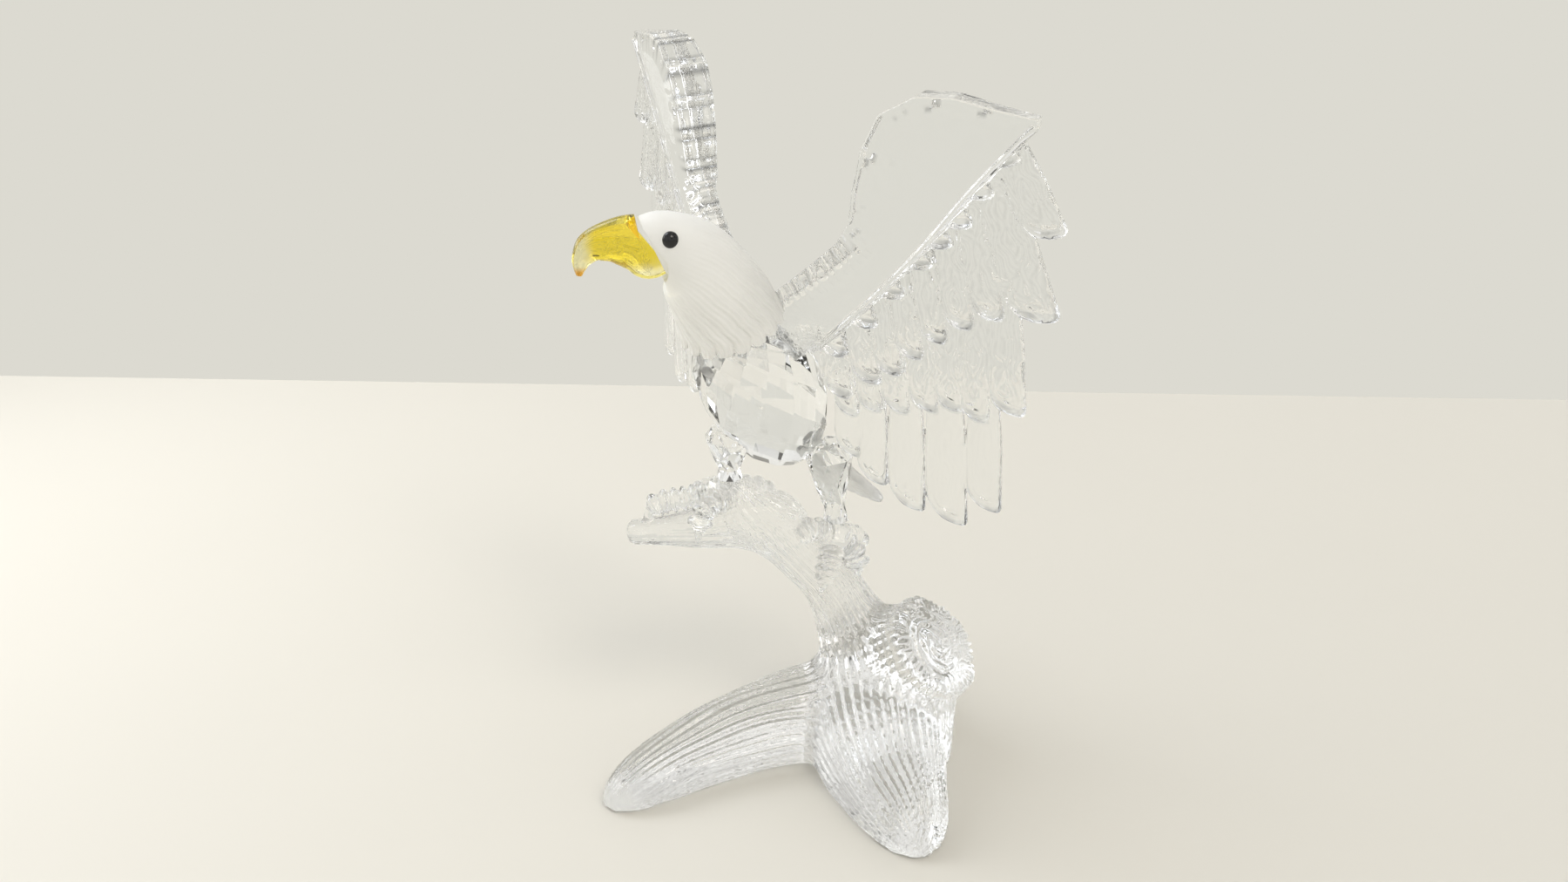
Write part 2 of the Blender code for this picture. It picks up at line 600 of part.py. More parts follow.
def tail_solid(name, collection):
    """A fan of feathers side by side, thinning to their tips."""
    drop = math.radians(TAIL_DROP_DEG)
    back = HEADING * -math.cos(drop) - UP * math.sin(drop)
    over = LEFT.cross(back)
    blades = []
    for i in range(TAIL_FEATHERS):
        spread = math.radians(TAIL_SPREAD_DEG) * (i / (TAIL_FEATHERS - 1) - 0.5)
        along = back * math.cos(spread) + LEFT * math.sin(spread)
        across = over.cross(along)

        def on_tail(a, b, n, along=along, across=across):
            return TAIL_ROOT + along * a + across * b + over * n

        def face_height(a, b, sign, lift=SHINGLE_LIFT * (i - 0.5 * TAIL_FEATHERS)):
            half = 0.5 * (TAIL_THICKNESS + (TAIL_TIP_THICKNESS - TAIL_THICKNESS) * a / TAIL_LENGTH)
            return sign * half + lift

        blades.append(plate(
            name, feather_outline(TAIL_LENGTH, TAIL_FEATHER_WIDTH), on_tail,
            lambda a, b, h=face_height: h(a, b, 1.0), lambda a, b, h=face_height: h(a, b, -1.0), collection,
        ))
    first = blades.pop(0)
    first.name = name
    return boolean(first, blades, "UNION", collection)


def main():
    clear_scene()
    bird = new_collection("crystal_eagle")
    pieces = {}
    body = body_solid("body", 0.0, bird)
    head = head_solid("head", 0.0, bird)
    eyes = {side: eye_solid(side + "_eye", sign, 0.0, bird) for side, sign in (("left", 1.0), ("right", -1.0))}
    sockets = [eye_solid("socket_cutter", sign, JOINT_GAP, bird) for sign in (1.0, -1.0)]
    head = boolean(head, [body_solid("neck_cutter", JOINT_GAP, bird)] + sockets, "DIFFERENCE", bird)
    beak = beak_solid("beak", bird)
    stand = stand_solid("branch_base", bird)
    wings = {}
    for side, far in (("left", False), ("right", True)):
        wing = wing_solid(side + "_wing", far, bird)
        cutters = [body_solid("seat_cutter", JOINT_GAP, bird), head_solid("nape_cutter", JOINT_GAP, bird)]
        wings[side] = boolean(wing, cutters, "DIFFERENCE", bird)
    legs = {}
    for side, ends, toes, pad in (
        ("right", RIGHT_LEG, RIGHT_TOES, FOOT_PADS[0]), ("left", LEFT_LEG, LEFT_TOES, FOOT_PADS[1]),
    ):
        leg = leg_solid(side + "_leg", ends, bird)
        cutters = [body_solid("seat_cutter", JOINT_GAP, bird)]
        cutters += foot_solids("ankle_cutter", toes, pad, JOINT_GAP, bird)
        legs[side] = boolean(leg, cutters, "DIFFERENCE", bird)
    tail = tail_solid("tail", bird)
    cutters = [body_solid("seat_cutter", JOINT_GAP, bird)]
    tail = boolean(tail, cutters, "DIFFERENCE", bird)

    for piece in (body, stand, wings["left"], wings["right"], legs["left"], legs["right"]):
        piece.data.materials.append(finish_material("clear_crystal"))
    for piece in (head, tail):
        piece.data.materials.append(finish_material("frosted_crystal"))
    beak.data.materials.append(finish_material("amber_crystal"))
    for eye in eyes.values():
        eye.data.materials.append(finish_material("jet_crystal"))
    for piece in (head, beak, stand, eyes["left"], eyes["right"]):
        shade_round(piece)


main()
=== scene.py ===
import math

import bmesh
import bpy
import numpy as np
from bpy.props import FloatProperty, FloatVectorProperty, IntProperty, PointerProperty
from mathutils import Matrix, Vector


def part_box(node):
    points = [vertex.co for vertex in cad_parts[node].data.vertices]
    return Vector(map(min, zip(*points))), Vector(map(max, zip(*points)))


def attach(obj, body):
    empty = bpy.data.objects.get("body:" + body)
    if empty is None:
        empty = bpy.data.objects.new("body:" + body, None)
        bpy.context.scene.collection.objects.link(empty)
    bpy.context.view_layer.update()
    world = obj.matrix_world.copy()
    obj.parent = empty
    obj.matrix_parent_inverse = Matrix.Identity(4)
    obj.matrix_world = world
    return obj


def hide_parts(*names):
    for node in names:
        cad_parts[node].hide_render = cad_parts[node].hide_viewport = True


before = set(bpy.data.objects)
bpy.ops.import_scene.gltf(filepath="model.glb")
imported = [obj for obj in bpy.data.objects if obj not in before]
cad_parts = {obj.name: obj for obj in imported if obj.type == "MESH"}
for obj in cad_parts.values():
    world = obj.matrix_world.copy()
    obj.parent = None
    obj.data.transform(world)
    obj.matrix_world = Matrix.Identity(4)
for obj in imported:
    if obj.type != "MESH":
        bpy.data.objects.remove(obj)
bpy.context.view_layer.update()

bl_info = {
    "name": "Crystal eagle",
    "version": (1, 0, 0),
    "blender": (4, 5, 0),
    "location": "View3D > Sidebar > Crystal eagle",
    "description": "Dresses the eagle's solids as cut, pressed and frosted crystal, on a pale stage",
    "category": "Object",
}

MM = 0.001
FAR = 9.0  # how far outside the glass a sample that nothing reaches counts as, in millimetres
UP = np.array((0.0, 0.0, 1.0))

# The bird's middle plane: where it stands, the way its body points, and its left
BODY_MIDDLE = np.array((-17.6, 8.0, 65.6))
HEADING_DEG = 226.0
HEADING = np.array((math.cos(math.radians(HEADING_DEG)), math.sin(math.radians(HEADING_DEG)), 0.0))
LEFT = np.array((-HEADING[1], HEADING[0], 0.0))

# Limbs of the stand, as (x, y, z, radius) in millimetres
LIMBS = {
    "bough": (
        (2.0, 2.0, -6.0, 13.0), (2.0, 2.0, 7.0, 11.0), (0.4, 3.4, 16.0, 8.4), (-2.8, 4.8, 23.5, 6.2),
        (-6.2, 5.4, 29.8, 5.3), (-11.2, 5.6, 35.2, 5.1), (-16.2, 5.5, 40.6, 5.4), (-20.6, 5.3, 44.6, 5.0),
        (-22.4, 5.1, 47.2, 3.6),
    ),
    "perch": (
        (-15.0, 5.5, 41.4, 4.6), (-22.0, 4.9, 41.4, 4.6), (-28.0, 4.0, 41.0, 3.9), (-34.0, 3.1, 40.9, 2.9),
        (-38.5, 2.4, 41.0, 2.5), (-41.4, 2.0, 41.1, 2.4),
    ),
    "left_root": (
        (2.0, 1.0, 5.0, 11.0), (-11.0, -0.6, 3.6, 9.8), (-22.0, -4.8, 2.6, 8.6), (-31.0, -10.2, 2.0, 7.2),
        (-37.3, -15.2, 1.6, 6.0), (-41.0, -18.2, 1.0, 4.3), (-42.8, -19.7, 0.6, 2.0),
    ),
    "front_root": (
        (2.2, 4.0, 3.0, 8.5), (2.4, -1.0, 4.6, 11.2), (2.8, -9.0, 4.4, 12.0), (4.4, -17.6, 3.0, 9.8),
        (6.2, -25.0, 2.0, 7.4), (7.2, -28.8, 1.2, 4.7), (7.4, -31.0, 0.6, 2.0),
    ),
    "back_root": (
        (2.0, 3.0, 5.0, 11.0), (2.6, 12.0, 3.0, 8.4), (2.6, 19.0, 1.8, 6.6), (2.4, 23.4, 1.0, 4.2),
        (2.4, 25.2, 0.6, 1.8),
    ),
    "stump": (
        (1.0, 3.0, 9.0, 8.8), (7.4, 1.2, 14.4, 9.2), (12.0, -1.5, 19.6, 9.8), (13.6, -2.5, 21.6, 10.0),
    ),
    "buttress": (
        (6.0, 0.0, 18.0, 6.0), (9.0, -2.0, 10.0, 7.8), (9.6, -4.4, 2.0, 7.2), (9.6, -5.0, -4.0, 6.4),
    ),
}

# Toes moulded with the bough, and the pads under the ankles
TOES = (
    ((-24.0, 4.4, 48.4), (-30.4, 3.4, 47.2), (-35.8, 2.8, 46.2), (-38.4, 2.3, 42.6)),
    ((-23.6, 3.2, 48.0), (-27.6, -0.4, 46.4), (-28.8, -1.4, 41.0)),
    ((-24.0, 6.0, 48.0), (-28.6, 8.8, 45.4), (-29.6, 9.0, 40.6)),
    ((-22.6, 5.2, 48.0), (-18.6, 6.6, 47.4), (-15.8, 7.8, 44.4)),
    ((-5.0, 5.0, 39.0), (-9.4, 2.6, 41.4), (-12.6, 1.0, 39.4)),
    ((-5.2, 4.2, 38.4), (-6.2, 0.6, 35.0), (-7.6, -0.4, 30.6)),
    ((-4.4, 5.2, 38.4), (-1.4, 4.6, 35.4), (-0.6, 3.6, 31.6)),
    ((-4.4, 6.2, 38.6), (-1.0, 9.0, 36.0), (-0.8, 10.0, 32.0)),
)
FOOT_PADS = ((-24.0, 4.6, 47.4, 2.9), (-4.9, 5.0, 38.4, 2.8))
# Dish, number of rim ribs and rounding of each limb that is cut off across
SAWN_LIMBS = {"perch": (0.1, 12, 2.2), "stump": (1.5, 30, 2.2)}
TOE_RADIUS = 1.65
RIB_SPACING = 1.65
CLAW_SHARE = 0.3  # of a toe's length
CLAW_TAPER = 0.6
# How far apart the fields of two forms still melt together
LIMB_SOFTNESS = 3.4
TOE_SOFTNESS = 0.6
PAD_SOFTNESS = 0.8
FLOOR_ROUNDING = 0.5

# Wings, in their own plane: u runs out from the root, v up it and n out of the face that looks forward
WING_ROOT = np.array((-13.3, 4.0, 82.7))
WING_SWEEP_DEG = -22.0
FAR_WING_LIFT_DEG = 5.0
FAR_WING_RAISE = 1.5
FAR_WING_OUTSET = 1.8
FAR_WING_LEAN_DEG = -3.5
ARM_LEDGE = ((5.0, -7.2), (37.6, 30.6))  # the arm's lower edge, where its feathers start
ARM_LEDGE_THICKNESS = 4.8
ARM_WEDGE_DEG = 13.6  # between the arm's two faces, which part from the ledge to the leading edge
ARM_OUTLINE = (
    (-3.4, -7.4), (-3.0, 0.6), (3.0, 5.8), (8.0, 10.3), (10.6, 14.2), (11.2, 19.6), (12.6, 25.9),
    (15.2, 31.3), (20.6, 34.2), (26.2, 34.3), (32.7, 32.9), (38.3, 32.0), (38.1, 30.3), (35.3, 28.0),
    (29.0, 20.6), (22.0, 11.2), (15.0, 3.0), (7.6, -4.6), (2.0, -9.5),
)
LEADING_EDGE = (
    # u, v, radius of the arm's front rim
    (-2.4, -1.6, 2.6), (4.6, 3.9, 2.7), (9.9, 8.6, 2.7), (12.9, 12.8, 2.7), (13.8, 19.2, 2.7),
    (15.2, 24.8, 2.8), (17.6, 29.2, 2.9), (22.4, 31.3, 2.9), (28.0, 31.3, 2.7), (33.0, 30.8, 2.1),
    (36.6, 30.8, 1.0),
)
# Each row of feathers: thickness at root and tip, then (root u, root v, tip u, tip v, width) outwards
FEATHER_ROWS = {
    "tile": (4.1, 3.7, (
        (7.0, -1.0, 8.0, -8.2, 5.0), (11.5, 3.0, 13.0, -2.8, 5.2), (15.5, 7.5, 17.2, 2.5, 5.2),
        (19.5, 12.0, 21.8, 7.7, 4.8), (22.5, 16.0, 24.8, 11.3, 4.4), (25.0, 20.0, 27.7, 14.7, 4.6),
        (28.0, 24.0, 30.5, 19.4, 4.8), (31.0, 28.5, 34.4, 24.6, 4.8),
    )),
    "covert": (3.0, 2.6, (
        (7.6, -3.0, 8.9, -15.4, 5.4), (11.5, 1.0, 13.8, -12.2, 5.4), (15.0, 4.0, 17.4, -10.2, 5.2),
        (18.5, 8.0, 20.8, -7.0, 5.0), (22.0, 12.0, 24.5, -3.8, 5.0), (25.5, 16.0, 28.4, -1.0, 5.2),
        (28.5, 20.0, 33.0, 1.0, 5.4), (31.5, 24.0, 40.4, 1.2, 7.6), (33.8, 28.0, 41.0, 14.2, 6.6),
    )),
    "long_covert": (2.2, 1.8, (
        (9.5, -8.0, 10.6, -18.4, 4.6), (13.5, -6.0, 14.4, -17.0, 4.8), (17.5, -4.0, 18.9, -16.6, 5.2),
        (22.0, 0.0, 23.4, -15.6, 5.4), (26.5, 3.0, 27.4, -14.8, 5.4), (30.5, 6.0, 31.6, -16.0, 5.6),
        (34.6, 8.0, 36.9, -14.2, 6.2),
    )),
    "primary": (1.4, 1.1, (
        (10.4, -12.0, 10.8, -25.8, 5.0), (14.6, -12.0, 15.2, -30.2, 5.8), (20.2, -11.0, 21.4, -33.8, 6.6),
        (26.6, -10.0, 28.3, -35.1, 7.2), (33.0, -10.0, 34.2, -31.6, 6.2),
    )),
}
# Crown, rounding of the rim, how much thinner the root is than the tip, and strength of the engraving
ROW_SHAPES = {
    "tile": (0.35, 0.35, 0.35, 0.0), "covert": (0.25, 0.6, 0.45, 1.0), "long_covert": (0.30, 0.6, 0.15, 0.8),
    "primary": (0.35, 0.6, 0.0, 0.2),
}
# How strong the painted shade is in the grooves, ribs, rims and notches: a dark tint that stands in for the
# dark of the room, which steep glass turns the view to
PAINTED_SHADE = {
    "rung": 1.0, "rib": 1.0, "fleck": 1.4, "tile": 1.0, "covert": 0.55, "long_covert": 0.4, "primary": 0.45,
}
# Corners of the box that is sampled, and how far apart the fields of two forms still melt together
WING_BOX = ((-7.0, -37.5, -5.0), (46.0, 37.5, 5.0))
WING_SOFTNESS = 0.1
# u, v, half width of the raised ledge
LEDGE = (
    (5.0, -7.2, 0.75), (7.9, -4.3, 0.75), (15.1, 3.2, 0.75), (22.1, 11.4, 0.75), (29.1, 20.8, 0.75),
    (35.3, 28.2, 0.75), (37.6, 30.6, 0.75),
)
LEDGE_HALF_HEIGHT = 2.4
LEDGE_SOFTNESS = 0.15
ARM_INSET = 0.3
ARM_ROUND_EDGE = 0.35
CRUMPLE_SPOT = (3.6, -6.4)  # where the wing was melted on to the body
CRUMPLE_REACH = 7.0
RIM_INSIDE = 0.8  # how far inside the leading edge the rim's slope starts
RIM_SLOPE = 0.16
RIM_SLOPE_ROOT = 0.3
FLECK_CUT = 0.5
FLECK_PLACE = 1.2  # how far outside the leading edge's path
FLECK_HALF_WIDTH = 0.35
ROOT_RIB_CUT = 0.6
ROOT_RIB_PITCH = 1.5
ROOT_RIBS_END = 21.0  # how far along the leading edge
ROOT_RIBS_FADE = 4.0
RUNG_PITCH = 4.8
RUNG_HALF_WIDTH = 0.38
RUNG_SPLIT = 0.9  # of each groove of a pair from the pair's middle
RUNG_CUT = 0.12

# Tail fan
TAIL_ROOT = np.array((-12.2, 12.2, 57.5))
TAIL_DROP_DEG = 50.0
TAIL_LENGTH = 24.0
TAIL_FEATHERS = 5
TAIL_SPREAD_DEG = 34.0
TAIL_FEATHER_WIDTH = 5.2

# Head and beak stations: centre, half height, half width, slant in degrees
HEAD_STATIONS = (
    (-33.8, -6.2, 94.9, 5.1, 3.4, 31.0),
    (-31.9, -5.8, 94.6, 5.4, 4.3, 20.0),
    (-28.2, -4.6, 92.2, 6.5, 5.7, 4.0),
    (-25.6, -3.0, 88.2, 7.5, 6.8, 0.0),
    (-23.8, -1.2, 84.4, 8.4, 7.7, -6.0),
    (-22.6, 0.6, 80.9, 9.3, 8.6, -12.0),
)
BEAK_STATIONS = (
    (-35.3, -6.6, 94.7, 5.1, 3.1, 26.0),
    (-37.8, -7.1, 95.5, 4.2, 2.7, 16.0),
    (-40.6, -7.5, 95.7, 3.1, 2.2, 8.0),
    (-42.85, -7.9, 95.0, 2.45, 1.7, 4.0),
    (-44.15, -8.1, 93.5, 1.65, 1.25, 0.0),
    (-44.65, -8.2, 92.0, 1.0, 0.85, 0.0),
    (-44.8, -8.2, 90.8, 0.45, 0.4, 0.0),
)
COLLAR_DROP = 1.0  # how far the scallops' tips hang below their notches
HOOD_GAP = 0.35  # between the hood and the body
HOOD_CLEARNESS, HOOD_ROUGHNESS = 0.04, 0.55
TAIL_LIGHT, TAIL_SHADE = (1.0, 1.0, 0.99), (0.98, 0.98, 0.97)
TAIL_CLEARNESS, TAIL_ROUGHNESS = 0.9, 0.35

# Grain of the stand: streaks of a size in millimetres round a limb, drawn out along it
GRAIN_SIZE = 0.9
GRAIN_RADIUS = 6.0
GRAIN_STRETCH = 0.1
ENGRAVING_PITCH = 0.85
# The wings get painted shade: the engraved lines and the grooves, ribs, rims and notches are darkened in the
# base colour, up to a limit, standing in for the dark room seen through steep glass
ENGRAVING_PAINTED_SHADE = 0.10  # how dark the engraved lines are
PAINTED_SHADE_LIMIT = 0.95

# The beak's tints: heights and places along x, in metres, between which each comes in
STREAKS = 0.0030  # how far noise shifts the edges of the pale tint
PALE_BELOW, PALE_AHEAD = (0.0950, 0.0925), (-0.0405, -0.0430)
TIP_BELOW, TIP_AHEAD = (0.0925, 0.0912), (-0.0425, -0.0435)

# Stage
FLOOR_CORNERS = ((-3000.0, -3000.0), (3000.0, -3000.0), (3000.0, 45.0), (-3000.0, 285.0))
FLOOR_HEIGHT = -0.05
LIGHT_AIM = (-0.01, 0.0, 0.04)
GLASS_BOUNCES = 12
ROOM_DARK = (0.10, 0.095, 0.09)
ROOM_LIGHT = (0.88, 0.87, 0.84)
ROOM_STARTS, ROOM_FULL = 0.08, 0.24  # heights of a direction, 0 at the horizon and 1 straight up
# Direction, half angle and softness in degrees, and radiance
SOFT_LIGHTS = (
    ((-0.55, 0.35, 0.76), 10.0, 8.0, (3.8, 4.0, 4.3)),
    ((0.36, -0.40, 0.84), 8.0, 8.0, (4.8, 4.5, 4.1)),
)


def linear(hex_colour):
    """The linear RGB of an sRGB hex colour."""
    channels = [int(hex_colour[i:i + 2], 16) / 255.0 for i in (0, 2, 4)]
    return tuple(c / 12.92 if c <= 0.04045 else ((c + 0.055) / 1.055) ** 2.4 for c in channels)


# Shapes


def unit(vector):
    return vector / np.linalg.norm(vector, axis=-1, keepdims=True)


def curve_through(points, count):
    """A Catmull-Rom curve through rows of numbers, read at count places: between rows b and c, with a
    before and d after, it is half of 2b + (c - a)t + (2a - 5b + 4c - d)t^2 + (3b - a - 3c + d)t^3."""
    rows = np.asarray(points, float)
    padded = np.vstack((2.0 * rows[0] - rows[1], rows, 2.0 * rows[-1] - rows[-2]))
    place = np.linspace(0.0, len(rows) - 1.0, count)
    i = np.minimum(place.astype(int), len(rows) - 2)
    t = (place - i)[:, None]
    a, b, c, d = padded[i], padded[i + 1], padded[i + 2], padded[i + 3]
    return 0.5 * (
        2.0 * b + (c - a) * t + (2.0 * a - 5.0 * b + 4.0 * c - d) * t**2 + (3.0 * b - a - 3.0 * c + d) * t**3
    )


def soft_min(a, b, soft):
    """The smaller of two fields, rounded where they meet within soft of each other."""
    near = np.maximum(soft - np.abs(a - b), 0.0) / soft
    return np.minimum(a, b) - 0.25 * soft * near * near


def soft_max(a, b, soft):
    """The larger of two fields, rounded where they meet within soft of each other."""
    return -soft_min(-a, -b, soft)


class Block:
    """Sample points a step apart in a box, with how far outside the glass each one is, and other values
    that the nearest form gives it."""

    def __init__(self, low, high, step, *names):
        self.step = step
        self.low = np.asarray(low, float)
        self.axes = [np.arange(a, b + step, step) for a, b in zip(low, high)]
        self.out = np.full([len(axis) for axis in self.axes], FAR)
        self.values = {name: np.zeros(self.out.shape) for name in names}

    def window(self, low, high):
        """The slices of the block that cover a smaller box."""
        cut = []
        for axis, a, b in zip(self.axes, low, high):
            first = max(0, int((a - axis[0]) / self.step))
            last = min(len(axis), int((b - axis[0]) / self.step) + 2)
            cut.append(slice(first, max(first, last)))
        return tuple(cut)

    def points(self, cut):
        return np.stack(np.meshgrid(*(axis[c] for axis, c in zip(self.axes, cut)), indexing="ij"), axis=-1)

    def join(self, cut, out, soft, **values):
        closer = out < self.out[cut]
        for name, value in values.items():
            self.values[name][cut] = np.where(closer, value, self.values[name][cut])
        self.out[cut] = soft_min(self.out[cut], out, soft)


def read_block(field, place):
    """A field between its samples: each of the eight round a place counts by its nearness along every
    axis."""
    top = np.array(field.shape) - 2
    base = np.clip(place.astype(int), 0, top)
    part = place - base
    total = np.zeros(len(place))
    for corner in np.ndindex(2, 2, 2):
        near = np.where(np.array(corner) == 1, part, 1.0 - part).prod(axis=1)
        total += near * field[tuple((base + corner).T)]
    return total


def skin(block):
    """The surface where the field is zero, as vertices, quads, outward normals and the block's other
    values.

    Each cell that the surface crosses has one vertex, at the mean of the crossings on its edges, moved onto
    the surface along the field's slope. Each crossed edge has one quad, between the four cells round it."""
    field = block.out
    inside = field < 0.0
    cells = np.array(field.shape) - 1
    count = np.zeros(cells.prod())
    total = np.zeros((cells.prod(), 3))
    edges = []
    for axis in range(3):
        near = tuple(slice(0, -1) if i == axis else slice(None) for i in range(3))
        far = tuple(slice(1, None) if i == axis else slice(None) for i in range(3))
        spot = np.stack(np.nonzero(inside[near] != inside[far]), axis=1)
        a = field[near][tuple(spot.T)]
        b = field[far][tuple(spot.T)]
        crossing = spot.astype(float)
        crossing[:, axis] += a / (a - b)
        second, third = (axis + 1) % 3, (axis + 2) % 3
        around = []
        for shift in ((0, 0), (1, 0), (1, 1), (0, 1)):
            cell = spot.copy()
            cell[:, second] -= shift[0]
            cell[:, third] -= shift[1]
            kept = ((cell >= 0) & (cell < cells)).all(axis=1)
            index = np.ravel_multi_index(tuple(np.clip(cell, 0, cells - 1).T), cells)
            count += np.bincount(index[kept], minlength=len(count))
            for i in range(3):
                total[:, i] += np.bincount(index[kept], crossing[kept, i], len(count))
            around.append(index)
        quad = np.stack(around, axis=1)
        quad[a >= 0.0] = quad[a >= 0.0][:, ::-1]
        edges.append(quad)
    used = np.nonzero(count)[0]
    number = np.full(len(count), -1)
    number[used] = np.arange(len(used))
    place = total[used] / count[used, None]
    slopes = np.gradient(field)
    for _ in range(2):
        value = read_block(field, place)
        slope = np.stack([read_block(s, place) for s in slopes], axis=1)
        step = slope * (value / np.maximum((slope**2).sum(axis=1), 1e-6))[:, None]
        place = place - np.clip(step, -0.4, 0.4)
    slope = np.stack([read_block(s, place) for s in slopes], axis=1)
    values = {name: read_block(value, place) for name, value in block.values.items()}
    return block.low + place * block.step, number[np.concatenate(edges)], unit(slope + 1e-9), values


def make_mesh(name, vertices, quads, normals=None, **values):
    """A smooth mesh object from arrays in millimetres, with any values given for its points."""
    mesh = bpy.data.meshes.new(name)
    mesh.vertices.add(len(vertices))
    mesh.vertices.foreach_set("co", np.ascontiguousarray(vertices * MM, np.float32).ravel())
    mesh.loops.add(quads.size)
    mesh.loops.foreach_set("vertex_index", np.ascontiguousarray(quads, np.int32).ravel())
    mesh.polygons.add(len(quads))
    mesh.polygons.foreach_set("loop_start", np.arange(0, quads.size, quads.shape[1], dtype=np.int32))
    mesh.update(calc_edges=True)
    for key, value in values.items():
        layer = mesh.attributes.new(key, "FLOAT", "POINT")
        layer.data.foreach_set("value", np.ascontiguousarray(value, np.float32))
    mesh.validate()
    mesh.shade_smooth()
    if normals is not None:
        mesh.normals_split_custom_set_from_vertices(normals)
    piece = bpy.data.objects.new(name, mesh)
    bpy.context.scene.collection.objects.link(piece)
    return piece


def path_frames(spots):
    """Unit vectors along a path of points, and two across it that turn as little as they can."""
    ahead = unit(np.gradient(spots, axis=0))
    side = unit(np.cross(ahead[0], UP) + np.array((1e-4, 0.0, 0.0)))
    sides = []
    for way in ahead:
        side = unit(side - way * side.dot(way))
        sides.append(side)
    sides = np.array(sides)
    return ahead, sides, np.cross(sides, ahead)


def round_path(block, path, reach):
    """For the samples near a path of (x, y, z, radius): the slices that hold them, how far outside the
    path's radius each is, how far along the path, the angle round it and the radius there. Each sample is
    measured from the nearest point of the nearest span."""
    spots, radii = path[:, :3], path[:, 3]
    _, sides, overs = path_frames(spots)
    lengths = np.concatenate(([0.0], np.cumsum(np.linalg.norm(np.diff(spots, axis=0), axis=1))))
    pad = radii.max() + reach
    cut = block.window(spots.min(axis=0) - pad, spots.max(axis=0) + pad)
    start = np.array([c.start for c in cut])
    shape = [c.stop - c.start for c in cut]
    out = np.full(shape, FAR)
    along = np.zeros(shape)
    angle = np.zeros(shape)
    radius = np.ones(shape)
    for i in range(len(spots) - 1):
        span = spots[i + 1] - spots[i]
        low = np.minimum(spots[i], spots[i + 1])
        high = np.maximum(spots[i], spots[i + 1])
        pad = max(radii[i], radii[i + 1]) + reach
        part = block.window(low - pad, high + pad)
        own = tuple(slice(p.start - s, p.stop - s) for p, s in zip(part, start))
        offset = block.points(part) - spots[i]
        share = np.clip(offset @ span / (span @ span), 0.0, 1.0)
        offset -= share[..., None] * span
        here = radii[i] + (radii[i + 1] - radii[i]) * share
        far = np.sqrt((offset**2).sum(axis=-1)) - here
        closer = far < out[own]
        side = sides[i] + (sides[i + 1] - sides[i]) * share[..., None]
        over = overs[i] + (overs[i + 1] - overs[i]) * share[..., None]
        turn = np.arctan2((offset * over).sum(axis=-1), (offset * side).sum(axis=-1))
        for values, new in (
            (out, far), (along, lengths[i] + np.linalg.norm(span) * share), (angle, turn), (radius, here),
        ):
            values[own] = np.where(closer, new, values[own])
    return cut, out, along, angle, radius


# Stand


def bark(along, angle, ridges, seed):
    """How deep the bark's furrows are, 0 on a ridge and 1 in a furrow. Two sets of ridges run along the
    limb and wander round it, with sharp furrows; patches of the one run out into patches of the other."""
    wander = angle + 0.11 * np.sin(along / 9.0 + seed) + 0.03 * np.sin(along / 3.7 + 2.0 * angle + seed)
    first = 1.0 - np.abs(np.cos(0.5 * ridges * wander + seed))
    second = 1.0 - np.abs(np.cos(0.5 * (ridges + 2) * wander + 2.3 * seed))
    mix = np.clip(0.5 + 1.6 * np.sin(along / 12.0 + 2.0 * angle + seed), 0.0, 1.0)
    swell = 0.5 + 0.5 * np.sin(5.0 * wander + along / 14.0 + 2.0 * seed)
    strength = 0.85 + 0.15 * np.sin(7.0 * wander + along / 10.0 + seed)
    return (first + (second - first) * mix) * strength + 0.6 * swell


def sawn_end(out, offset, ahead, radius, angle, dish, ribs, soft):
    """A limb cut off across: a face with a dish and whorls inside, and a rim of short radial ribs."""
    height = offset @ ahead
    spread = np.sqrt(np.maximum((offset**2).sum(axis=-1) - height**2, 0.0)) / radius
    hollow = dish * np.clip(1.0 - spread**2, 0.0, 1.0)
    whorl = np.cos(2.0 * math.pi * spread * radius / 2.3 + 2.0 * angle + np.sin(3.0 * angle))
    uneven = angle + 0.09 * np.sin(5.0 * angle) + 0.06 * np.sin(9.0 * angle + 1.0)
    rim = np.abs(np.cos(0.5 * ribs * uneven + 2.0 * spread))
    near = np.clip(1.0 + height / 4.5, 0.0, 1.0)
    inner = np.clip((0.75 - spread) / 0.25, 0.0, 1.0)
    outer = np.clip((spread - 0.55) / 0.25, 0.0, 1.0)
    out = out + 0.10 * dish * near * (1.0 - rim) * (1.0 + 0.6 * np.sin(3.0 * angle + 2.0))
    return soft_max(out, height + hollow + dish * (0.30 * inner * whorl + 0.50 * outer * (1.0 - rim)), soft)


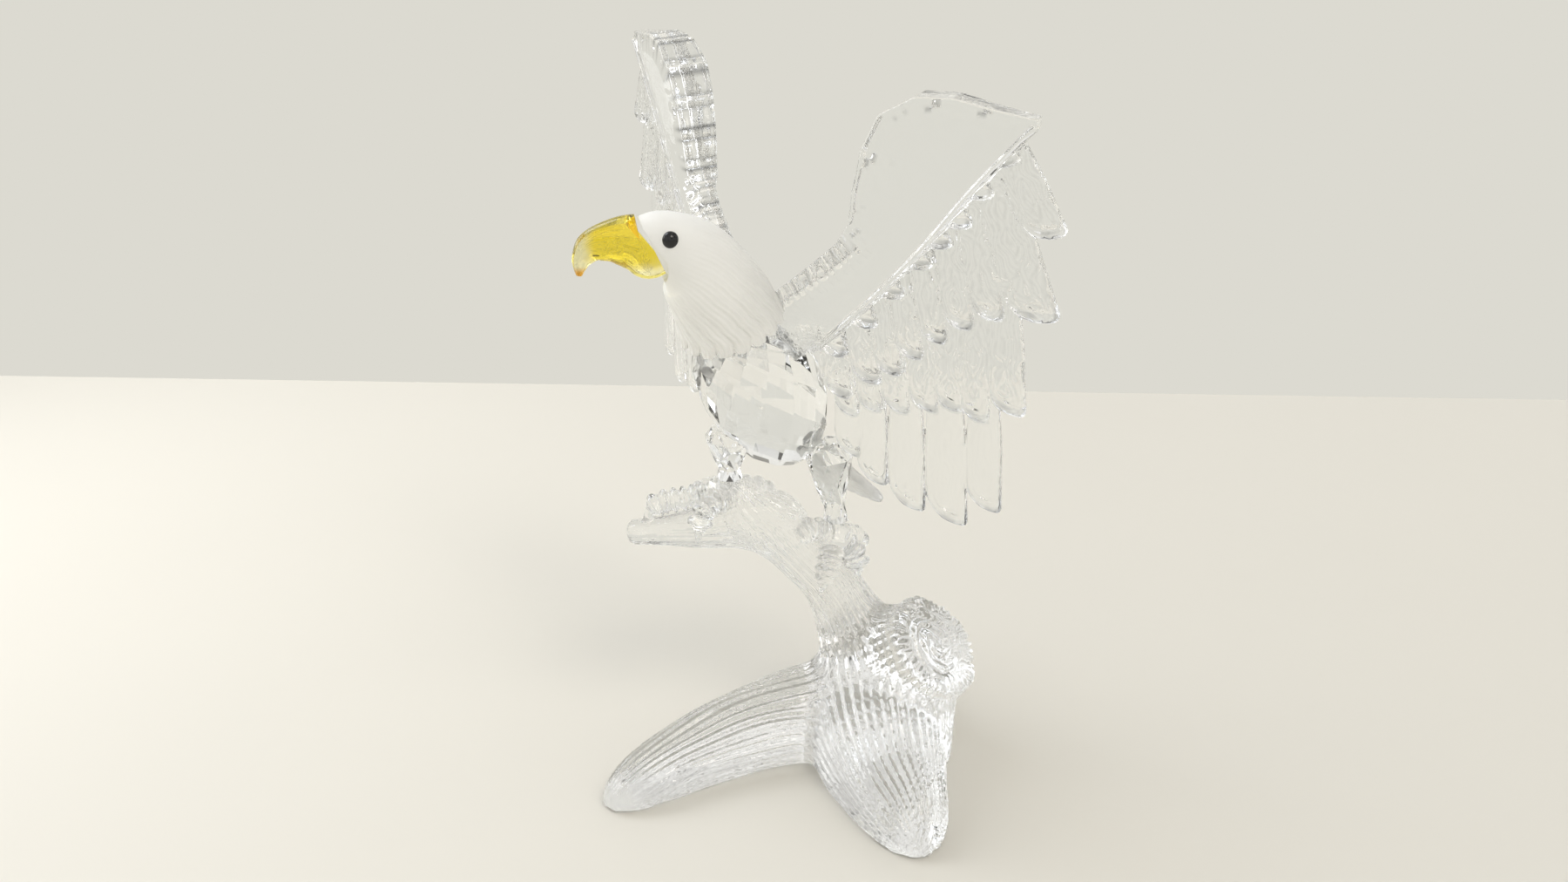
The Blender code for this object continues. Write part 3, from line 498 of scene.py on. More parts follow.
def stand_block(sizes):
    """Limbs with bark joined softly, toes with ribs joined more tightly, cut flat at the floor."""
    low, high = (np.array(corner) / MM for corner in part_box("branch_base"))
    step = sizes.stand_step / MM
    block = Block(low - 2.0 * step, high + 2.0 * step, step, "grain_side", "grain_over", "grain_along")
    for seed, (name, points) in enumerate(LIMBS.items()):
        path = curve_through(points, 6 * len(points))
        cut, out, along, angle, radius = round_path(block, path, 4.0)
        ridges = 2 * round(math.pi * np.median(path[:, 3]) / (sizes.bark_spacing / MM))
        depth = sizes.bark_depth / MM * np.clip(radius / 6.0, 0.5, 1.2)
        out = out + depth * bark(along, angle, ridges, 1.7 * seed + 0.6)
        if name in SAWN_LIMBS:
            dish, ribs, soft = SAWN_LIMBS[name]
            ahead = unit(path[-1, :3] - path[-3, :3])
            out = sawn_end(out, block.points(cut) - path[-1, :3], ahead, path[-1, 3], angle, dish, ribs, soft)
        block.join(cut, out, LIMB_SOFTNESS,
                   grain_side=np.cos(angle), grain_over=np.sin(angle), grain_along=along)
    rib = sizes.toe_rib / MM
    for toe in TOES:
        path = curve_through(toe, 26)
        share = np.linspace(0.0, 1.0, len(path))
        claw = np.clip((share - 1.0 + CLAW_SHARE) / CLAW_SHARE, 0.0, 1.0)
        path = np.column_stack((path, TOE_RADIUS * (1.0 - CLAW_TAPER * claw)))
        cut, out, along, angle, radius = round_path(block, path, 2.0)
        finger = np.clip((radius / TOE_RADIUS - 0.9) / 0.1, 0.0, 1.0)
        out = out + rib * (0.35 - finger * np.abs(np.sin(math.pi * along / RIB_SPACING)))
        block.join(cut, out, TOE_SOFTNESS, grain_side=1.0, grain_over=0.0, grain_along=along)
    for x, y, z, radius in FOOT_PADS:
        cut = block.window((x - 5.0, y - 5.0, z - 5.0), (x + 5.0, y + 5.0, z + 5.0))
        offset = block.points(cut) - np.array((x, y, z))
        block.join(cut, np.sqrt((offset**2).sum(axis=-1)) - radius, PAD_SOFTNESS)
    z = block.axes[2][None, None, :]
    block.out = soft_max(block.out, -z + 0.0 * block.out, FLOOR_ROUNDING)
    return block


# Feathers


def feather_field(a, b, n, length, width, half, crown, round_edge):
    """How far outside a feather a point is, a along it, b across it and n off its plane.

    Its sides are straight, and its tip is a quarter of an ellipse from the inner side to the outer one. Its
    faces are crowned, with a low quill, and its outer side stands above the inner one. The second value is
    how far outside its outline the point is."""
    rake = 0.85 * width
    share = np.clip((b / width + 0.5) / 0.9, 0.0, 1.0)
    tip = length - rake + rake * np.sqrt(1.0 - (1.0 - share) ** 2)
    side = 0.5 * width * (0.8 + 0.2 * np.clip(2.0 * a / length, 0.0, 1.0))
    outline = soft_max(np.abs(b) - side, 0.85 * (a - tip), 0.9)
    outline = soft_max(outline, -a, 0.6)
    height = half * (1.0 - crown * np.clip(b / side, -1.2, 1.2) ** 2)
    quill = 0.10 * np.exp(-((b + 0.1 * width) / 0.4) ** 2)
    bead = 0.28 * np.exp(-((outline + 0.9) / 0.5) ** 2) * np.clip(3.0 * a / length - 1.8, 0.0, 1.0)
    face = np.abs(n - 0.45 * b / width) - height - quill - bead
    return soft_max(outline, face, round_edge), outline


def polygon_field(u, v, outline):
    """How far outside a closed outline each point is: the distance to its nearest side, less than 0 inside,
    where a line to the right crosses an odd number of sides."""
    points = np.asarray(outline, float)
    ends = np.roll(points, -1, axis=0)
    nearest = np.full(u.shape, 1e9)
    crossings = np.zeros(u.shape, bool)
    for (ax, ay), (bx, by) in zip(points, ends):
        along = (u - ax) * (bx - ax) + (v - ay) * (by - ay)
        share = np.clip(along / ((bx - ax) ** 2 + (by - ay) ** 2), 0.0, 1.0)
        nearest = np.minimum(nearest, np.hypot(u - ax - share * (bx - ax), v - ay - share * (by - ay)))
        if ay != by:
            crossings ^= ((ay > v) != (by > v)) & (u < ax + (v - ay) * (bx - ax) / (by - ay))
    return np.where(crossings, -nearest, nearest)


def edge_distance(u, v, path):
    """For places in the wing's plane: how far from a path each is, less than 0 on its right; how far along
    it; and the path's radius there."""
    lengths = np.concatenate(([0.0], np.cumsum(np.linalg.norm(np.diff(path[:, :2], axis=0), axis=1))))
    across = np.full(u.shape, 1e9)
    along = np.zeros(u.shape)
    radius = np.ones(u.shape)
    side = np.ones(u.shape)
    for i in range(len(path) - 1):
        span = path[i + 1, :2] - path[i, :2]
        share = np.clip(((u - path[i, 0]) * span[0] + (v - path[i, 1]) * span[1]) / (span @ span), 0.0, 1.0)
        off_u, off_v = u - path[i, 0] - share * span[0], v - path[i, 1] - share * span[1]
        gap = np.hypot(off_u, off_v)
        closer = gap < across
        across = np.where(closer, gap, across)
        side = np.where(closer, np.sign(span[0] * off_v - span[1] * off_u), side)
        radius = np.where(closer, path[i, 2] + (path[i + 1, 2] - path[i, 2]) * share, radius)
        along = np.where(closer, lengths[i] + np.linalg.norm(span) * share, along)
    return side * across, along, radius


def arm_rim(u, v, rung_cut):
    """The arm's front rim, for places in the wing's plane: how much it thins the faces, how far its cross
    grooves cut into the outline, and how much painted shade it gets, a dark tint that stands in for the room
    seen through steep glass.

    It slopes away to the leading edge. Wavy ribs cross it near the root, pairs of grooves cross it all
    along, as deep as rung_cut says, and chips are cut in its face here and there."""
    across, run, radius = edge_distance(u, v, curve_through(LEADING_EDGE, 90))
    rooted = np.clip((ROOT_RIBS_END - run) / ROOT_RIBS_FADE, 0.0, 1.0)
    turns = run / ROOT_RIB_PITCH + 0.16 * np.sin(1.9 * run) + 0.12 * np.sin(0.8 * run + across)
    in_rim = np.clip((across + RIM_INSIDE) / 0.3, 0.0, 1.0)
    ribs = ROOT_RIB_CUT * rooted * (1.0 - np.abs(np.sin(math.pi * turns))) * in_rim
    bevel = (RIM_SLOPE + RIM_SLOPE_ROOT * rooted) * np.clip(across + RIM_INSIDE, 0.0, 4.0) + ribs
    rungs = RUNG_PITCH * (run / RUNG_PITCH - np.round(run / RUNG_PITCH))
    rungs = np.exp(-((np.abs(rungs) - RUNG_SPLIT) / RUNG_HALF_WIDTH) ** 2)
    rungs = rungs * np.clip(across / radius + 0.3, 0.0, 1.0) * (rung_cut > 0.0)
    flecks = np.sin(1.3 * run + 0.4) * np.sin(0.31 * run + 1.0) * (1.0 - rooted)
    chips = FLECK_CUT * np.clip(9.0 * flecks - 5.4, 0.0, 1.0)
    chips = chips * np.exp(-((across - FLECK_PLACE) / FLECK_HALF_WIDTH) ** 2)
    # Painted shade: a dark tint on the rungs and the root ribs, and then on the chips, standing in for the
    # room seen through the glass there
    smoke = np.maximum(PAINTED_SHADE["rung"] * rungs * (0.75 + 0.25 * np.sin(0.9 * run)),
                       PAINTED_SHADE["rib"] * (ribs / ROOT_RIB_CUT) ** 3 * (0.6 + 0.4 * np.sin(2.3 * run)))
    return bevel + chips, rung_cut * rungs, np.maximum(smoke, PAINTED_SHADE["fleck"] * chips)


def add_feathers(block, row):
    """Join one row of a wing's feathers to it, with painted shade in the notches along their tips."""
    thick_root, thick_tip, feathers = FEATHER_ROWS[row]
    crown, round_edge, bulge, engraved = ROW_SHAPES[row]
    for root_u, root_v, tip_u, tip_v, width in feathers:
        root, tip = np.array((root_u, root_v)), np.array((tip_u, tip_v))
        length = np.linalg.norm(tip - root)
        along = (tip - root) / length
        cut = block.window((*(np.minimum(root, tip) - width), WING_BOX[0][2]),
                           (*(np.maximum(root, tip) + width), WING_BOX[1][2]))
        at = block.points(cut)
        a = (at[..., 0] - root_u) * along[0] + (at[..., 1] - root_v) * along[1]
        b = -(at[..., 0] - root_u) * along[1] + (at[..., 1] - root_v) * along[0]
        share = np.clip(a / length, 0.0, 1.0)
        half = 0.5 * (thick_root + (thick_tip - thick_root) * share) - bulge * (1.0 - share**3)
        out, outline = feather_field(a, b, at[..., 2], length, width, half, crown, round_edge)
        # Painted shade at the notches between the feathers' tips, darker on some than on others
        notch = np.exp(-((outline + 0.25) / 0.22) ** 2) * np.clip(4.0 * a / length - 2.8, 0.0, 1.0)
        notch = PAINTED_SHADE[row] * notch * np.clip(0.4 + 2.2 * np.sin(1.7 * root_u + 1.3 * b), 0.0, 1.0)
        block.join(cut, out, WING_SOFTNESS, contour=outline, engraved=engraved, crumple=0.0, smoke=notch)


def wing_block(sizes, rung_cut):
    """A wing in its own plane: the wedge of the arm, thickest at its leading edge; four rows of feathers,
    each feather lapping the next; and a raised ledge along the arm's lower edge. The depth of the grooves
    across the arm's rim is rung_cut, 0 for none."""
    block = Block(*WING_BOX, sizes.wing_step / MM, "contour", "engraved", "crumple", "smoke")
    whole = block.window(*WING_BOX)
    points = block.points(whole)
    u, v, n = points[..., 0], points[..., 1], points[..., 2]
    plane = u[:, :, 0], v[:, :, 0]
    flat = polygon_field(*plane, ARM_OUTLINE)[:, :, None]
    crumple = np.exp(-((u - CRUMPLE_SPOT[0]) ** 2 + (v - CRUMPLE_SPOT[1]) ** 2) / CRUMPLE_REACH)
    start, end = np.array(ARM_LEDGE)
    along = (end - start) / np.linalg.norm(end - start)
    away = along[0] * (v - start[1]) - along[1] * (u - start[0])
    half = 0.5 * ARM_LEDGE_THICKNESS - ARM_INSET + away * math.tan(0.5 * math.radians(ARM_WEDGE_DEG))
    thinner, grooves, smoke = (values[:, :, None] for values in arm_rim(*plane, rung_cut))
    arm = soft_max(flat + grooves + 0.0 * n, np.abs(n) - (half - thinner), ARM_ROUND_EDGE)
    block.join(whole, arm, WING_SOFTNESS, contour=flat, crumple=crumple, smoke=smoke)
    for row in FEATHER_ROWS:
        add_feathers(block, row)
    ledge, _, wide = (values[:, :, None] for values in edge_distance(*plane, curve_through(LEDGE, 60)))
    ledge = (((ledge / wide) ** 2 + (n / LEDGE_HALF_HEIGHT) ** 2) ** 0.5 - 1.0) * wide
    block.join(whole, ledge, LEDGE_SOFTNESS, engraved=0.0, smoke=0.0)
    return block


def wing_axes(far):
    """A wing's root and its out, up and face directions. The far one is the near one seen in the middle
    plane, raised a little, set outwards, turned up about its root and leaned."""
    sweep = math.radians(WING_SWEEP_DEG)
    root = WING_ROOT - BODY_MIDDLE
    out = np.array((math.cos(sweep), math.sin(sweep), 0.0))
    rise = UP
    face = np.cross(out, rise)
    if far:
        root, out, face = (w - 2.0 * LEFT * w.dot(LEFT) for w in (root, out, face))
        root = root + UP * FAR_WING_RAISE - LEFT * FAR_WING_OUTSET
        lift = math.radians(FAR_WING_LIFT_DEG)
        out, rise = out * math.cos(lift) + rise * math.sin(lift), rise * math.cos(lift) - out * math.sin(lift)
        lean = math.radians(FAR_WING_LEAN_DEG)
        turned = np.cross(out, rise)
        rise, face = (rise * math.cos(lean) + turned * math.sin(lean),
                      face * math.cos(lean) + rise * math.sin(lean))
    return BODY_MIDDLE + root, np.array((out, rise, face))


def tail_block(sizes):
    """The tail's feathers side by side in one fan, each lapping the next."""
    box = ((-2.0, -12.0, -3.0), (TAIL_LENGTH + 2.0, 12.0, 3.0))
    block = Block(*box, sizes.wing_step / MM)
    whole = block.window(*box)
    points = block.points(whole)
    for i in range(TAIL_FEATHERS):
        spread = math.radians(TAIL_SPREAD_DEG) * (i / (TAIL_FEATHERS - 1) - 0.5)
        a = points[..., 0] * math.cos(spread) + points[..., 1] * math.sin(spread)
        b = -points[..., 0] * math.sin(spread) + points[..., 1] * math.cos(spread)
        n = points[..., 2] - 0.16 * (i - 0.5 * TAIL_FEATHERS)
        half = 1.3 - 0.5 * np.clip(a / TAIL_LENGTH, 0.0, 1.0)
        out, _ = feather_field(a, b, n, TAIL_LENGTH, TAIL_FEATHER_WIDTH, half, 0.25, 0.6)
        barbs = 0.07 * np.cos(2.0 * math.pi * (a - 0.6 * np.abs(b)) / 1.1)
        block.join(whole, out + barbs, 0.14)
    return block


# Materials


def add_node(tree, kind, settings=None, inputs=None):
    """A node with its settings, and its inputs set to values or linked from sockets."""
    node = tree.nodes.new(kind)
    for key, value in (settings or {}).items():
        setattr(node, key, value)
    for key, value in (inputs or {}).items():
        if isinstance(value, bpy.types.NodeSocket):
            tree.links.new(value, node.inputs[key])
        else:
            node.inputs[key].default_value = value
    return node


def new_material(name):
    material = bpy.data.materials.new(name)
    material.use_nodes = True
    tree = material.node_tree
    tree.nodes.clear()
    return material, tree


def surface(material, inputs):
    """Give a material its one shader, and give the material back."""
    tree = material.node_tree
    shader = add_node(tree, "ShaderNodeBsdfPrincipled", inputs=inputs)
    add_node(tree, "ShaderNodeOutputMaterial", inputs={"Surface": shader.outputs[0]})
    return material


def object_place(tree):
    return add_node(tree, "ShaderNodeTexCoord").outputs["Object"]


def value_of(tree, name):
    return add_node(tree, "ShaderNodeAttribute", {"attribute_name": name}).outputs["Fac"]


def maths(tree, operation, *values):
    return add_node(tree, "ShaderNodeMath", {"operation": operation}, dict(enumerate(values))).outputs[0]


def noise(tree, size, detail=2.0, vector=None):
    """Noise with features of a size in metres, in the object's own space or in the vector's."""
    vector = vector or object_place(tree)
    return add_node(tree, "ShaderNodeTexNoise", inputs={
        "Vector": vector, "Scale": 1.0 / size, "Detail": detail,
    }).outputs["Fac"]


def bump(tree, height, distance, normal=None, strength=1.0):
    inputs = {"Height": height, "Strength": strength, "Distance": distance}
    if normal:
        inputs["Normal"] = normal
    return add_node(tree, "ShaderNodeBump", inputs=inputs).outputs["Normal"]


def ramp(tree, value, start, end, low=0.0, high=1.0, kind="LINEAR"):
    """Low where a value is at its start, changing to high where it is at its end."""
    return add_node(tree, "ShaderNodeMapRange", {"interpolation_type": kind}, {
        "Value": value, "From Min": start, "From Max": end, "To Min": low, "To Max": high,
    }).outputs[0]


def blend(tree, factor, first, second):
    """One colour where the factor is 0 and another where it is 1, each a colour or a socket."""
    return add_node(tree, "ShaderNodeMix", {"data_type": "RGBA"}, {0: factor, 6: first, 7: second}).outputs[2]


def moulded_crystal(colours):
    """Lead crystal pressed in a mould and flamed bright: clear, with fine grain along each limb's bark, and
    the slow swells that the flame leaves."""
    material, tree = new_material("moulded_crystal")
    place = add_node(tree, "ShaderNodeCombineXYZ", inputs={
        "X": maths(tree, "MULTIPLY", value_of(tree, "grain_side"), GRAIN_RADIUS),
        "Y": maths(tree, "MULTIPLY", value_of(tree, "grain_over"), GRAIN_RADIUS),
        "Z": maths(tree, "MULTIPLY", value_of(tree, "grain_along"), GRAIN_STRETCH),
    }).outputs[0]
    swell = bump(tree, noise(tree, 0.004), 0.00008)
    fine = bump(tree, noise(tree, GRAIN_SIZE, 1.0, place), 0.00004, swell)
    return surface(material, {
        "Base Color": (*colours.clear, 1.0), "Roughness": 0.005, "IOR": 1.545, "Transmission Weight": 1.0,
        "Normal": fine,
    })


def feather_crystal(colours):
    """Lead crystal pressed in an engraved mould: clear, with the fine lines of the engraver's passes, which
    follow each feather's outline, and crumpled where the wing was melted on to the body."""
    material, tree = new_material("engraved_mould_crystal")
    drift = noise(tree, 0.005, 1.0)
    bent = maths(tree, "MULTIPLY_ADD", drift, 5.0, value_of(tree, "contour"))
    lines = maths(tree, "SINE", maths(tree, "MULTIPLY", bent, 2.0 * math.pi / ENGRAVING_PITCH))
    lines = maths(tree, "MULTIPLY", lines, value_of(tree, "engraved"))
    swell = bump(tree, noise(tree, 0.005), 0.00006)
    engraved = bump(tree, lines, 0.000026, swell)
    creases = maths(tree, "MULTIPLY", noise(tree, 0.0011, 3.0), value_of(tree, "crumple"))
    # Painted shade: the base colour darkens towards a dark grey-blue along the engraved lines and where the
    # wing's mesh carries its shade marks, standing in for the dark room seen through steep glass
    dark = maths(tree, "MAXIMUM", lines, 0.0)
    dark = maths(tree, "MULTIPLY_ADD", dark, ENGRAVING_PAINTED_SHADE, value_of(tree, "smoke"))
    dark = maths(tree, "MINIMUM", dark, PAINTED_SHADE_LIMIT)
    return surface(material, {
        "Base Color": blend(tree, dark, (*colours.clear, 1.0), (*colours.smoke, 1.0)),
        "Roughness": 0.005, "IOR": 1.545, "Transmission Weight": 1.0,
        "Normal": bump(tree, creases, 0.0012, engraved),
    })


def cut_crystal(colours):
    """Lead crystal ground and polished on a wheel: clear, flat facets, with the faintest polishing haze."""
    material, tree = new_material("cut_crystal")
    rough = ramp(tree, noise(tree, 0.002, 3.0), 0.4, 0.8, 0.0, 0.03)
    return surface(material, {
        "Base Color": (*colours.clear, 1.0), "Roughness": rough, "IOR": 1.56, "Transmission Weight": 1.0,
    })


def frosted_crystal(name, light, shade, clearness, roughness):
    """Crystal blasted with grit: white and matt with a fine tooth, letting through the light that its
    clearness says, more in a thin piece than in a thick one."""
    material, tree = new_material(name)
    tint = blend(tree, noise(tree, 0.006), (*light, 1.0), (*shade, 1.0))
    return surface(material, {
        "Base Color": tint, "Roughness": roughness, "IOR": 1.5, "Transmission Weight": clearness,
        "Normal": bump(tree, noise(tree, 0.0005, 3.0), 0.00008, strength=0.3),
    })


def amber_crystal(colours):
    """Yellow crystal, flame-worked: deep where the lump of colour was laid, drawn out pale along the
    cutting edge and the hook, and amber at the very tip."""
    material, tree = new_material("amber_crystal")
    apart = add_node(tree, "ShaderNodeSeparateXYZ", inputs={"Vector": object_place(tree)})
    streaks = noise(tree, 0.0025)
    ahead, height = apart.outputs["X"], apart.outputs["Z"]
    lower, front = (maths(tree, "MULTIPLY_ADD", streaks, STREAKS, way) for way in (height, ahead))
    pale_low, pale_front, tip_low, tip_front = (
        ramp(tree, way, *ends, kind="SMOOTHSTEP")
        for way, ends in ((lower, PALE_BELOW), (front, PALE_AHEAD), (height, TIP_BELOW), (ahead, TIP_AHEAD))
    )
    pale = maths(tree, "MAXIMUM", pale_low, pale_front)
    tint = blend(tree, pale, (*colours.beak, 1.0), (*colours.beak_pale, 1.0))
    tint = blend(tree, maths(tree, "MULTIPLY", tip_low, tip_front), tint, (*colours.beak_tip, 1.0))
    return surface(material, {
        "Base Color": tint, "Roughness": 0.03, "IOR": 1.53, "Transmission Weight": 1.0,
        "Normal": bump(tree, noise(tree, 0.005, 0.0), 0.00004),
    })


def jet_crystal(colours):
    """Black glass, fire polished: a bright small highlight on near black, with a trace of haze."""
    material, tree = new_material("jet_crystal")
    rough = ramp(tree, noise(tree, 0.0008), 0.0, 1.0, 0.02, 0.08)
    return surface(material, {"Base Color": (*colours.eye, 1.0), "Roughness": rough, "IOR": 1.52})


def stage_paint(name, colour):
    """Matt paint, with a trace of unevenness."""
    material, tree = new_material(name)
    tint = blend(tree, noise(tree, 0.05, 3.0), (*colour, 1.0), (*(0.985 * c for c in colour), 1.0))
    return surface(material, {"Base Color": tint, "Roughness": 0.6, "Specular IOR Level": 0.3})


# Sizes and colours


class EagleSizes(bpy.types.PropertyGroup):
    stand_step: FloatProperty(
        name="Stand sampling", description="Spacing of the samples that the stand's surface is found from",
        default=0.36 * MM, subtype="DISTANCE", precision=5)
    wing_step: FloatProperty(
        name="Wing sampling", description="Spacing of the samples that the wings' surface is found from",
        default=0.26 * MM, subtype="DISTANCE", precision=5)
    bark_spacing: FloatProperty(
        name="Bark spacing", description="Distance between the ridges of the bark",
        default=1.5 * MM, subtype="DISTANCE", precision=4)
    bark_depth: FloatProperty(
        name="Bark depth", description="Depth of the furrows between the ridges, on a thick limb",
        default=0.7 * MM, subtype="DISTANCE", precision=4)
    toe_rib: FloatProperty(
        name="Toe ribs", description="Height of the ribs on the toes",
        default=0.9 * MM, subtype="DISTANCE", precision=4)
    plumes: IntProperty(name="Plumes", description="Scallops round the collar", default=18)
    combing: IntProperty(name="Combed lines", description="Fine grooves down the hood", default=54)


class EagleColours(bpy.types.PropertyGroup):
    clear: FloatVectorProperty(
        name="Clear crystal", description="Tint of the clear pieces", subtype="COLOR",
        default=linear("FDFEFE"))
    # The colour of the painted shade that darkens the wings' grooves, rims and notches
    smoke: FloatVectorProperty(
        name="Painted shade tint", description="The dark accents in the wings' grooves", subtype="COLOR",
        default=linear("3C4048"))
    frost: FloatVectorProperty(
        name="Frost", description="Colour of the frosted pieces", subtype="COLOR", default=linear("FAFAF7"))
    frost_shade: FloatVectorProperty(
        name="Frost shade", description="Where the frosting is thinner", subtype="COLOR",
        default=linear("EFEFEC"))
    beak: FloatVectorProperty(
        name="Beak", description="Tint of the yellow glass", subtype="COLOR", default=linear("FFE63C"))
    beak_pale: FloatVectorProperty(
        name="Beak edge", description="Tint where the yellow is drawn out", subtype="COLOR",
        default=linear("FDF6C4"))
    beak_tip: FloatVectorProperty(
        name="Beak tip", description="Tint at the hook's tip", subtype="COLOR", default=linear("E8A51C"))
    eye: FloatVectorProperty(
        name="Eye", description="Colour of the eyes", subtype="COLOR", default=linear("0A0A0C"))
    floor: FloatVectorProperty(
        name="Floor", description="Colour of the floor", subtype="COLOR", default=linear("DEDBD2"))
    wall: FloatVectorProperty(
        name="Backdrop", description="Colour behind the floor", subtype="COLOR", default=linear("DCDAD1"))


def sizes_and_colours():
    scene = bpy.context.scene
    return scene.eagle_sizes, scene.eagle_colours


def settle(piece, material, slot, *nodes):
    """Give a piece its material and its body, and hide the nodes that it stands for. The slot is not used."""
    piece.data.materials.append(material)
    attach(piece, "root")
    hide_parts(*nodes)


# Pieces


class EAGLE_OT_stand(bpy.types.Operator):
    """Make the moulded branch stand with its bark, stump and gripping toes"""
    bl_idname = "eagle.stand"
    bl_label = "Branch stand"

    def execute(self, context):
        sizes, colours = sizes_and_colours()
        vertices, quads, normals, values = skin(stand_block(sizes))
        piece = make_mesh("branch_stand", vertices, quads, normals, **values)
        settle(piece, moulded_crystal(colours), "clear_crystal", "branch_base")
        return {"FINISHED"}


class EAGLE_OT_wings(bpy.types.Operator):
    """Make both pressed wings"""
    bl_idname = "eagle.wings"
    bl_label = "Wings"

    def execute(self, context):
        sizes, colours = sizes_and_colours()
        material = feather_crystal(colours)
        for name, node, far in (("near_wing", "left_wing", False), ("far_wing", "right_wing", True)):
            vertices, quads, normals, values = skin(wing_block(sizes, RUNG_CUT if far else 0.0))
            root, axes = wing_axes(far)
            turned = quads[:, ::-1] if far else quads
            piece = make_mesh(name, root + vertices @ axes, turned, normals @ axes, **values)
            settle(piece, material, "clear_crystal", node)
        return {"FINISHED"}


class EAGLE_OT_tail(bpy.types.Operator):
    """Make the frosted tail fan"""
    bl_idname = "eagle.tail"
    bl_label = "Tail"

    def execute(self, context):
        sizes, _ = sizes_and_colours()
        drop = math.radians(TAIL_DROP_DEG)
        back = -HEADING * math.cos(drop) - UP * math.sin(drop)
        axes = np.array((back, LEFT, np.cross(back, LEFT)))
        vertices, quads, normals, _ = skin(tail_block(sizes))
        piece = make_mesh("tail_fan", TAIL_ROOT + vertices @ axes, quads, normals @ axes)
        material = frosted_crystal(
            "frosted_crystal_thin", TAIL_LIGHT, TAIL_SHADE, TAIL_CLEARNESS, TAIL_ROUGHNESS)
        settle(piece, material, "frosted_crystal", "tail")
        return {"FINISHED"}


def station_frames(stations):
    """Each station's centre and unit vectors along the row, to the side and up, the first and last of which
    are turned about the side by its slant."""
    rows = np.asarray(stations, float)
    ahead = unit(np.gradient(rows[:, :3], axis=0))
    side = unit(np.cross(ahead, UP))
    over = np.cross(side, ahead)
    slant = np.radians(rows[:, 5])[:, None]
    turned = ahead * np.cos(slant) + over * np.sin(slant)
    return rows[:, :3], turned, side, np.cross(side, turned)


def ring_angles(count):
    """The angles of the points round a ring, as one row."""
    return np.linspace(0.0, 2.0 * math.pi, count, endpoint=False)[None, :]


def ring_grid(centres, side, over, high, wide, angles):
    """Oval rings: centre + side * wide * cos(angle) + over * high * sin(angle)."""
    return (
        centres[:, None] + side[:, None] * (wide * np.cos(angles))[..., None]
        + over[:, None] * (high * np.sin(angles))[..., None]
    )


def close_rings(grid):
    """Vertices and quads of rings joined in order, with each end drawn to a point at its ring's centre."""
    rings, around = grid.shape[:2]
    grid = np.concatenate((
        np.repeat(grid[:1].mean(axis=1, keepdims=True), around, axis=1), grid,
        np.repeat(grid[-1:].mean(axis=1, keepdims=True), around, axis=1),
    ))
    i, j = np.meshgrid(np.arange(rings + 1), np.arange(around), indexing="ij")
    k = (j + 1) % around
    quads = np.stack((i * around + j, i * around + k, (i + 1) * around + k, (i + 1) * around + j), axis=-1)
    return grid.reshape(-1, 3), quads.reshape(-1, 4)


def ring_piece(name, grid):
    """A piece from a grid of rings, its doubled points at the poles merged and everything facing
    outwards."""
    piece = make_mesh(name, *close_rings(grid))
    bm = bmesh.new()
    bm.from_mesh(piece.data)
    bmesh.ops.remove_doubles(bm, verts=bm.verts, dist=2e-6)
    bmesh.ops.recalc_face_normals(bm, faces=bm.faces)
    bm.to_mesh(piece.data)
    bm.free()
    piece.data.shade_smooth()
    return piece


class EAGLE_OT_head(bpy.types.Operator):
    """Make the frosted hood with its combed plumage and scalloped collar"""
    bl_idname = "eagle.head"
    bl_label = "Head"

    def execute(self, context):
        sizes, colours = sizes_and_colours()
        along = 110
        rows = curve_through(HEAD_STATIONS, along)
        centres, ahead, side, over = station_frames(rows)
        share = np.linspace(0.0, 1.0, along)[:, None]
        angles = ring_angles(10 * sizes.combing)
        fan = np.clip(1.35 * share - 0.35, 0.0, 1.0)
        plume = np.abs(np.cos(0.5 * sizes.plumes * angles))
        wander = angles + 0.03 * np.sin(9.0 * share + 3.0 * angles)
        comb = np.abs(np.cos(0.5 * sizes.combing * wander))
        cut_in = 0.45 * fan**1.5 * (1.0 - plume) + 0.20 * fan * (1.0 - comb)
        shell = ring_grid(centres, side, over, rows[:, 3:4] - cut_in, rows[:, 4:5] - cut_in, angles)
        slip = COLLAR_DROP * np.clip((share - 0.72) / 0.28, 0.0, 1.0) ** 1.5
        slip = slip * np.sqrt(1.0 - (1.0 - plume) ** 2)
        piece = ring_piece("hood", shell + ahead[-1] * slip[..., None])
        cut_round(piece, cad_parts["body"], HOOD_GAP)
        material = frosted_crystal(
            "frosted_crystal_thick", colours.frost, colours.frost_shade, HOOD_CLEARNESS, HOOD_ROUGHNESS)
        settle(piece, material, "frosted_crystal", "head")
        return {"FINISHED"}


def cut_round(piece, node, gap):
    """Cut a piece away around a solid, leaving a gap in millimetres."""
    cutter = node.data.copy()
    spots = np.empty(3 * len(cutter.vertices), np.float32)
    cutter.vertices.foreach_get("co", spots)
    spots = spots.reshape(-1, 3)
    middle = spots.mean(axis=0)
    spots = spots + unit(spots - middle) * gap * MM
    cutter.vertices.foreach_set("co", spots.ravel())
    tool = bpy.data.objects.new("cutter", cutter)
    tool.matrix_world = node.matrix_world
    bpy.context.scene.collection.objects.link(tool)
    modifier = piece.modifiers.new("cut", "BOOLEAN")
    modifier.operation = "DIFFERENCE"
    modifier.object = tool
    bpy.context.view_layer.update()
    graph = bpy.context.evaluated_depsgraph_get()
    mesh = bpy.data.meshes.new_from_object(piece.evaluated_get(graph))
    piece.modifiers.clear()
    piece.data = mesh
    bpy.data.objects.remove(tool)
    mesh.shade_smooth()
    mesh.set_sharp_from_angle(angle=math.radians(50.0))


